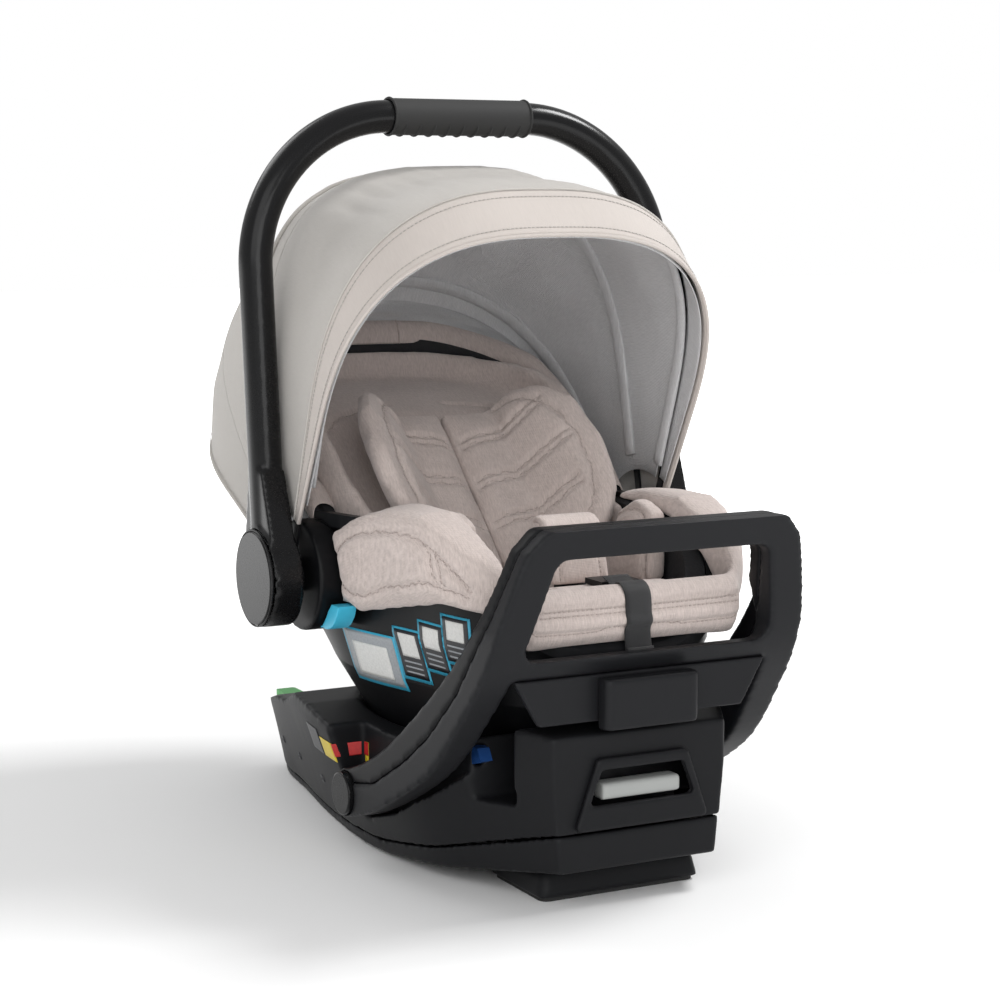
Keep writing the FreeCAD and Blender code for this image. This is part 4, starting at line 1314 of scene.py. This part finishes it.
class CARSEAT_OT_insert(bpy.types.Operator):
    """The two halves of the infant insert with their raised wings"""
    bl_idname = "carseat.insert"
    bl_label = "Insert"

    def execute(self, context):
        for name, side in SIDES:
            half = merged_copy("insert_" + name, ["insert_back", "insert_wing_" + name])
            self.cut_at_middle(half, side)
            pad_from(half, seat_material(), shrink=0.0, voxel=0.0045, pressure=7, cap=0.009, smooth=9)
            self.close_middle(half)
            sewn(half, self.seams(side))
            nodes = ["insert_wing_" + name] + (["insert_back"] if side < 0 else [])
            seat_piece(half, "carrier", *nodes, fill=0.7)
        return {"FINISHED"}

    def close_middle(self, obj):
        """Draws the inner edge out to the middle, where the two halves meet in a crease."""
        points = coords(obj)
        reach = 0.022
        off = np.abs(points[:, 0])
        gap = off.min() - 0.0002
        points[:, 0] -= np.sign(points[:, 0]) * gap * np.clip(1 - (off - gap) / reach, 0, 1)
        set_coords(obj, points)

    def cut_at_middle(self, obj, side):
        bm = bmesh.new()
        bm.from_mesh(obj.data)
        cut = bmesh.ops.bisect_plane(bm, geom=bm.verts[:] + bm.edges[:] + bm.faces[:], clear_inner=True,
                                     plane_co=(side * 0.0004, 0, 0), plane_no=(side, 0, 0))
        edges = [e for e in cut["geom_cut"] if isinstance(e, bmesh.types.BMEdge)]
        bmesh.ops.holes_fill(bm, edges=edges)
        bmesh.ops.recalc_face_normals(bm, faces=bm.faces)
        bm.to_mesh(obj.data)
        bm.free()

    def seams(self, side):
        top = INSERT_GAP + INSERT_THICK
        lines = []
        lines.append(curve_through([on_wing(side, 0.200, 0.004), on_wing(side, 0.190, 0.034),
                                    on_wing(side, 0.156, 0.060), on_wing(side, 0.108, 0.068),
                                    on_wing(side, 0.066, 0.063), on_wing(side, 0.040, 0.046),
                                    on_wing(side, 0.024, 0.020)]))
        for up, rise, edge in ((0.156, 0.012, 0.050), (0.108, 0.010, 0.062), (0.060, 0.008, 0.054)):
            for gap in (0.0, 0.008):
                u = up + gap
                lines.append(curve_through([
                    on_back(side * 0.008, u, top), on_back(side * 0.046, u + rise * 0.4, top),
                    on_wing(side, u + rise * 0.8, 0.018), on_wing(side, u + rise * 1.5, edge)]))
        return lines


class CARSEAT_OT_apron(bpy.types.Operator):
    """The padded apron: the roll over the foot end and the two side flaps"""
    bl_idname = "carseat.apron"
    bl_label = "Apron"

    def execute(self, context):
        apron = cushion("apron", ["front_roll", "side_flap_left", "side_flap_right"], seat_material(),
                        shrink=0.0015, voxel=0.005, pressure=4, cap=0.007, smooth=9)
        sewn(apron, self.seams(), width=0.0032)
        seat_piece(apron, "carrier", "front_roll", "side_flap_left", "side_flap_right", fill=0.6)
        return {"FINISHED"}

    def seams(self):
        lines = []
        for inset in (0.012, 0.018):
            lines.append([(x * MM, -0.276, 0.262 - inset) for x in (-100, -50, 0, 50, 100)])
        lines.append([(x * MM, -0.276, 0.226) for x in (-104, -50, 0, 50, 104)])
        for side in (-1, 1):
            x = side * 0.175
            inner = curve_through([(x, -0.020, 0.262), (x, -0.052, 0.292), (x, -0.100, 0.303), (x, -0.155, 0.304),
                                   (x, -0.194, 0.291), (x, -0.228, 0.274), (x, -0.246, 0.260)])
            lower = curve_through([(x, -0.030, 0.244), (x, -0.062, 0.233), (x, -0.120, 0.246), (x, -0.186, 0.258),
                                   (x, -0.240, 0.250)])
            lines += [inner, lower]
            for y in (-0.196, -0.206):
                lines.append([(x, y, 0.262), (x, y + 0.012, 0.292)])
        return lines


class CARSEAT_OT_bolsters(bpy.types.Operator):
    """Hip bolsters and the padded cover over the buckle"""
    bl_idname = "carseat.bolsters"
    bl_label = "Bolsters"

    def execute(self, context):
        for name, side in SIDES:
            node = "hip_bolster_" + name
            pad = cushion("bolster_" + name, [node], seat_material(), shrink=0.0015, voxel=0.004, pressure=5,
                          cap=0.008, smooth=8)
            low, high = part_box(node)
            x = low.x if side > 0 else high.x
            line = curve_through([(x, low.y + 0.014, low.z + 0.02), (x, low.y + 0.016, high.z - 0.02),
                                  (x, 0.5 * (low.y + high.y), high.z - 0.014), (x, high.y - 0.014, high.z - 0.034),
                                  (x, high.y - 0.012, low.z + 0.02)])
            sewn(pad, [line])
            seat_piece(pad, "carrier", node, fill=0.8)
        cover = cushion("buckle_sleeve", ["buckle_cover"], seat_material(), shrink=0.001, voxel=0.0035,
                        pressure=5, cap=0.005, smooth=6)
        low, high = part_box("buckle_cover")
        y = low.y
        line = [(-0.020, y, low.z + 0.008), (-0.020, y, high.z - 0.012), (0.020, y, high.z - 0.012),
                (0.020, y, low.z + 0.008)]
        sewn(cover, [line], depth=0.0015, width=0.0026)
        seat_piece(cover, "carrier", "buckle_cover", fill=0.7)
        return {"FINISHED"}


# ------------------------------------------------------------------ harness and strap
class CARSEAT_OT_harness(bpy.types.Operator):
    """Shoulder straps, crotch strap and the adjuster strap at the foot end"""
    bl_idname = "carseat.harness"
    bl_label = "Harness"

    def execute(self, context):
        material = webbing_material()
        width = settings().webbing_width
        cover = surface_of(bpy.data.objects["apron"])
        over = [(0, -0.231, 0.2668)]
        for y in (-0.247, -0.252, -0.257, -0.262, -0.267, -0.271):
            hit, _, _, _ = cover.ray_cast(Vector((0, y, 0.32)), Vector((0, 0, -1)))
            if hit is not None:
                over.append((0, y, hit.z + 0.0012))
        for z in np.arange(over[-1][2] - 0.008, 0.222, -0.008):
            hit, _, _, _ = cover.ray_cast(Vector((0, -0.40, z)), Vector((0, 1, 0)))
            if hit is not None:
                over.append((0, hit.y - 0.0013, z))
        hang = min(y for _, y, _ in over) + 0.0004
        route = curve_through(over + [(0, hang, 0.205), (0, hang, 0.188), (0, hang, 0.1715)], 6)
        strap = ribbon("adjuster_webbing", route, width, 0.0016, material)
        fold = curve_through([(0, hang - 0.0017, 0.2140), (0, hang - 0.0018, 0.1900), (0, hang - 0.0017, 0.1730),
                              (0, hang - 0.0008, 0.1712)], 6)
        loop = ribbon("adjuster_loop", fold, width, 0.0015, material)
        keep(loop, "carrier", "webbing")
        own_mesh(loop)
        bars = [[(x, hang - 0.0028, z) for x in np.linspace(-0.0105, 0.0105, 9)] for z in (0.2115, 0.2065)]
        thread = knit("black_thread", (0.05, 0.05, 0.052), (0.03, 0.03, 0.032), 0.5)
        sewn_bars = stitches("adjuster_stitches", bars, thread, "carrier", "webbing", 0.0026, 0.0019, 0.0004)
        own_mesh(sewn_bars)
        keep(strap, "carrier", "webbing")
        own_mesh(strap)
        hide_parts("adjuster_strap")
        for name, side in SIDES:
            low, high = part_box("shoulder_strap_" + name)
            x = 0.5 * (low.x + high.x)
            line = [on_back(x, u * MM, 0.0013) for u in range(60, 181, 4)]
            piece = ribbon("shoulder_webbing_" + name, line, high.x - low.x, 0.0015, material)
            keep(piece, "carrier", "webbing")
            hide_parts("shoulder_strap_" + name)
        low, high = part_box("crotch_strap")
        middle = 0.5 * (low.y + high.y)
        line = [(0, middle, low.z + (high.z - low.z) * i / 6) for i in range(7)]
        piece = ribbon("crotch_webbing", line, high.x - low.x, 0.0018, material)
        keep(piece, "carrier", "webbing")
        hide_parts("crotch_strap")
        return {"FINISHED"}


# ------------------------------------------------------------------ handle
class CARSEAT_OT_handle(bpy.types.Operator):
    """Ribs of the grip, collars at its ends and the ring round each hub cap"""
    bl_idname = "carseat.handle"
    bl_label = "Handle Details"

    def execute(self, context):
        lean = math.atan2(0.5 * (GRIP_LOW.y + GRIP_HIGH.y) - HUB.y, 0.5 * (GRIP_LOW.z + GRIP_HIGH.z) - HUB.z)
        up = Vector((0, math.sin(lean), math.cos(lean)))
        fore = Vector((0, -math.cos(lean), math.sin(lean)))
        centre = Vector((0, 0.5 * (GRIP_LOW.y + GRIP_HIGH.y), 0.5 * (GRIP_LOW.z + GRIP_HIGH.z)))
        half = GRIP_HIGH.x
        deep, tall = 0.0181, 0.0166
        rubber = rubber_material()
        arc = []
        for i in range(25):
            a = math.radians(-62 - 150 * i / 24 + 30)
            arc.append(fore * (deep * math.cos(a)) + up * (tall * math.sin(a)))
        rib = tube("grip_rib_shape", arc, lambda t: 0.0004 + 0.0011 * math.sin(math.pi * t) ** 0.35, rubber, 8,
                   up=Vector((1, 0, 0)))
        count = settings().rib_count
        inset = 0.012
        spots = [(centre + Vector((-half + inset + (2 * half - 2 * inset) * i / (count - 1), 0, 0)), (0, 0, 1))
                 for i in range(count)]
        scatter_parts("grip_ribs", spots, rib, rubber, "handle", "grip_rubber")
        bpy.data.objects.remove(rib)
        for name, side in SIDES:
            ring = [centre + Vector((side * (half - 0.001), 0, 0)) + fore * ((deep + 0.0002) * math.cos(a))
                    + up * ((tall + 0.0002) * math.sin(a)) for a in np.linspace(0, 2 * math.pi, 49)[:-1]]
            self.loop("grip_collar_" + name, ring, 0.0011, rubber, "handle", "grip_rubber")
            x = side * (abs(cap_low.x) if abs(cap_low.x) > abs(cap_high.x) else abs(cap_high.x))
            edge = [Vector((x - side * 0.0016, HUB.y + (CAP_RADIUS + 0.0012) * math.cos(a),
                            HUB.z + (CAP_RADIUS + 0.0012) * math.sin(a))) for a in np.linspace(0, 2 * math.pi, 97)[:-1]]
            self.loop("hub_ring_" + name, edge, 0.0009, handle_material(), "handle", "handle_plastic")
        return {"FINISHED"}

    def loop(self, name, ring, radius, material, body, slot):
        rows = []
        count = len(ring)
        middle = sum(ring, Vector()) / count
        for i, point in enumerate(ring):
            ahead = (ring[(i + 1) % count] - ring[i - 1]).normalized()
            out = (point - middle).normalized()
            side = ahead.cross(out).normalized()
            rows.append([point + out * (radius * math.cos(a)) + side * (radius * math.sin(a))
                         for a in np.linspace(0, 2 * math.pi, 9)[:-1]])
        rows.append(rows[0])
        obj = grid(name, rows, material, wrap=True)
        bm = bmesh.new()
        bm.from_mesh(obj.data)
        bmesh.ops.remove_doubles(bm, verts=bm.verts, dist=1e-6)
        bmesh.ops.recalc_face_normals(bm, faces=bm.faces)
        bm.to_mesh(obj.data)
        bm.free()
        return keep(obj, body, slot)


# ------------------------------------------------------------------ base and bar details
class CARSEAT_OT_base_details(bpy.types.Operator):
    """Screws on the sides of the base and the wall behind the base's finger window"""
    bl_idname = "carseat.base_details"
    bl_label = "Base Details"

    def execute(self, context):
        self.window_wall()
        head = self.screw_head()
        spots = []
        tree = BVHTree.FromPolygons([v.co for v in NODES["base_upper_cover"].data.vertices],
                                    [tuple(p.vertices) for p in NODES["base_upper_cover"].data.polygons])
        for side in (-1, 1):
            for y in (0.06, 0.15, 0.22):
                hit, normal, _, _ = tree.ray_cast(Vector((side * 0.4, y, 0.045)), Vector((-side, 0, 0)))
                if hit is not None:
                    spots.append((hit, normal))
        scatter_parts("base_screws", spots, head, metal("screw_black", (0.10, 0.10, 0.105), 0.4), "base",
                      "base_plastic")
        bpy.data.objects.remove(head)
        return {"FINISHED"}

    def window_wall(self):
        """The wall behind the finger window."""
        x, y, low, high = 0.050, -0.2465, 0.070, 0.128
        wall = grid("window_wall", [[Vector((-x, y, z)), Vector((x, y, z))] for z in (low, high)], base_material())
        thicken(wall, 0.002)
        keep(wall, "base", "base_plastic")

    def screw_head(self):
        """A low domed head with a shallow round recess."""
        rings = ((0.0042, -0.0004), (0.0042, 0.0003), (0.0038, 0.0008), (0.0024, 0.0012), (0.0016, 0.0012),
                 (0.0012, 0.0002))
        rows = [[Vector((r * math.cos(a), r * math.sin(a), z)) for a in np.linspace(0, 2 * math.pi, 13)[:-1]]
                for r, z in rings]
        obj = grid("screw_shape", rows, None, wrap=True)
        close_ends(obj)
        return obj


# ------------------------------------------------------------------ labels
class CARSEAT_OT_labels(bpy.types.Operator):
    """Blank labels: coloured blocks and outlines with no lettering"""
    bl_idname = "carseat.labels"
    bl_label = "Labels"

    def execute(self, context):
        cyan = printed("label_cyan", (0.05, 0.42, 0.62), (0.04, 0.36, 0.54))
        grey = printed("label_grey", (0.34, 0.36, 0.38), (0.28, 0.30, 0.32))
        dark = printed("label_black", (0.012, 0.013, 0.016), (0.02, 0.02, 0.024))
        pale = printed("label_white", (0.72, 0.72, 0.70), (0.62, 0.62, 0.60))
        yellow = printed("label_yellow", (0.75, 0.58, 0.02), (0.68, 0.50, 0.02))
        red = printed("label_red", (0.55, 0.02, 0.02), (0.45, 0.02, 0.02))
        shell = ("carrier_shell", "carrier", "shell_plastic")
        base = ("base_upper_cover", "base", "base_plastic")
        blocks = []
        for i in range(3):
            y, low, high = -79 - 37 * i, 166 + 13 * i, 209 + 11 * i
            tag = f"_{i + 1}"
            blocks += [("label_edge" + tag, shell, (y + 3, low - 3), (y - 37, high + 2), cyan, 0.4),
                       ("label_column" + tag, shell, (y, low), (y - 34, high), dark, 0.8),
                       ("label_figure" + tag, shell, (y - 5, low + 19), (y - 29, high - 3), pale, 1.1)]
            for j in range(3):
                z = low + 4 + 4.8 * j
                blocks.append((f"label_rule{tag}_{j + 1}", shell, (y - 5, z), (y - 29, z + 1.4), grey, 1.1))
        blocks += [("label_panel_edge", shell, (1, 150), (-76, 200), cyan, 0.4),
                   ("label_panel", shell, (-2, 153), (-73, 198), grey, 0.8),
                   ("label_panel_figure", shell, (-12, 158), (-62, 188), pale, 1.1),
                   ("sticker_rear", shell, (118, 122), (82, 184), pale, 0.6),
                   ("base_label_yellow", base, (10, 80), (-34, 98), yellow, 0.6),
                   ("base_label_red", base, (-22, 86), (-34, 98), red, 1.0),
                   ("base_label_white", base, (44, 80), (12, 104), dark, 0.6)]
        for block in blocks:
            self.block(*block)
        return {"FINISHED"}

    def block(self, name, part, first, last, material, lift):
        """first and last are opposite corners along Y and Z, and lift is its height, in millimetres."""
        node, body, slot = part
        (y0, z0), (y1, z1) = first, last
        corners = [Vector((-100, y, z)) * MM for y, z in ((y0, z0), (y1, z0), (y1, z1), (y0, z1))]
        decal(name, node, corners, 10, material, body, slot, Vector((-1, 0, 0)), lift * MM)


OPERATORS = (CARSEAT_OT_stage, CARSEAT_OT_hard_parts, CARSEAT_OT_rounded_parts, CARSEAT_OT_canopy,
             CARSEAT_OT_lining, CARSEAT_OT_liner, CARSEAT_OT_insert, CARSEAT_OT_apron, CARSEAT_OT_bolsters,
             CARSEAT_OT_harness, CARSEAT_OT_handle, CARSEAT_OT_base_details, CARSEAT_OT_labels)


class CARSEAT_PT_sidebar(bpy.types.Panel):
    """Lists the pieces and the sizes that can be changed"""
    bl_idname = "CARSEAT_PT_sidebar"
    bl_label = "Infant Car Seat"
    bl_space_type = "VIEW_3D"
    bl_region_type = "UI"
    bl_category = "Car Seat"

    def draw(self, context):
        values = context.scene.car_seat_finish
        for name in CarSeatFinish.__annotations__:
            self.layout.prop(values, name)
        for operator in OPERATORS:
            self.layout.operator(operator.bl_idname)


CLASSES = (CarSeatFinish, *OPERATORS, CARSEAT_PT_sidebar)


def register():
    for item in CLASSES:
        bpy.utils.register_class(item)
    bpy.types.Scene.car_seat_finish = bpy.props.PointerProperty(type=CarSeatFinish)


def unregister():
    del bpy.types.Scene.car_seat_finish
    for item in reversed(CLASSES):
        bpy.utils.unregister_class(item)


def main():
    register()
    for operator in OPERATORS:
        group, name = operator.bl_idname.split(".")
        getattr(getattr(bpy.ops, group), name)()


if __name__ == "__main__":
    main()
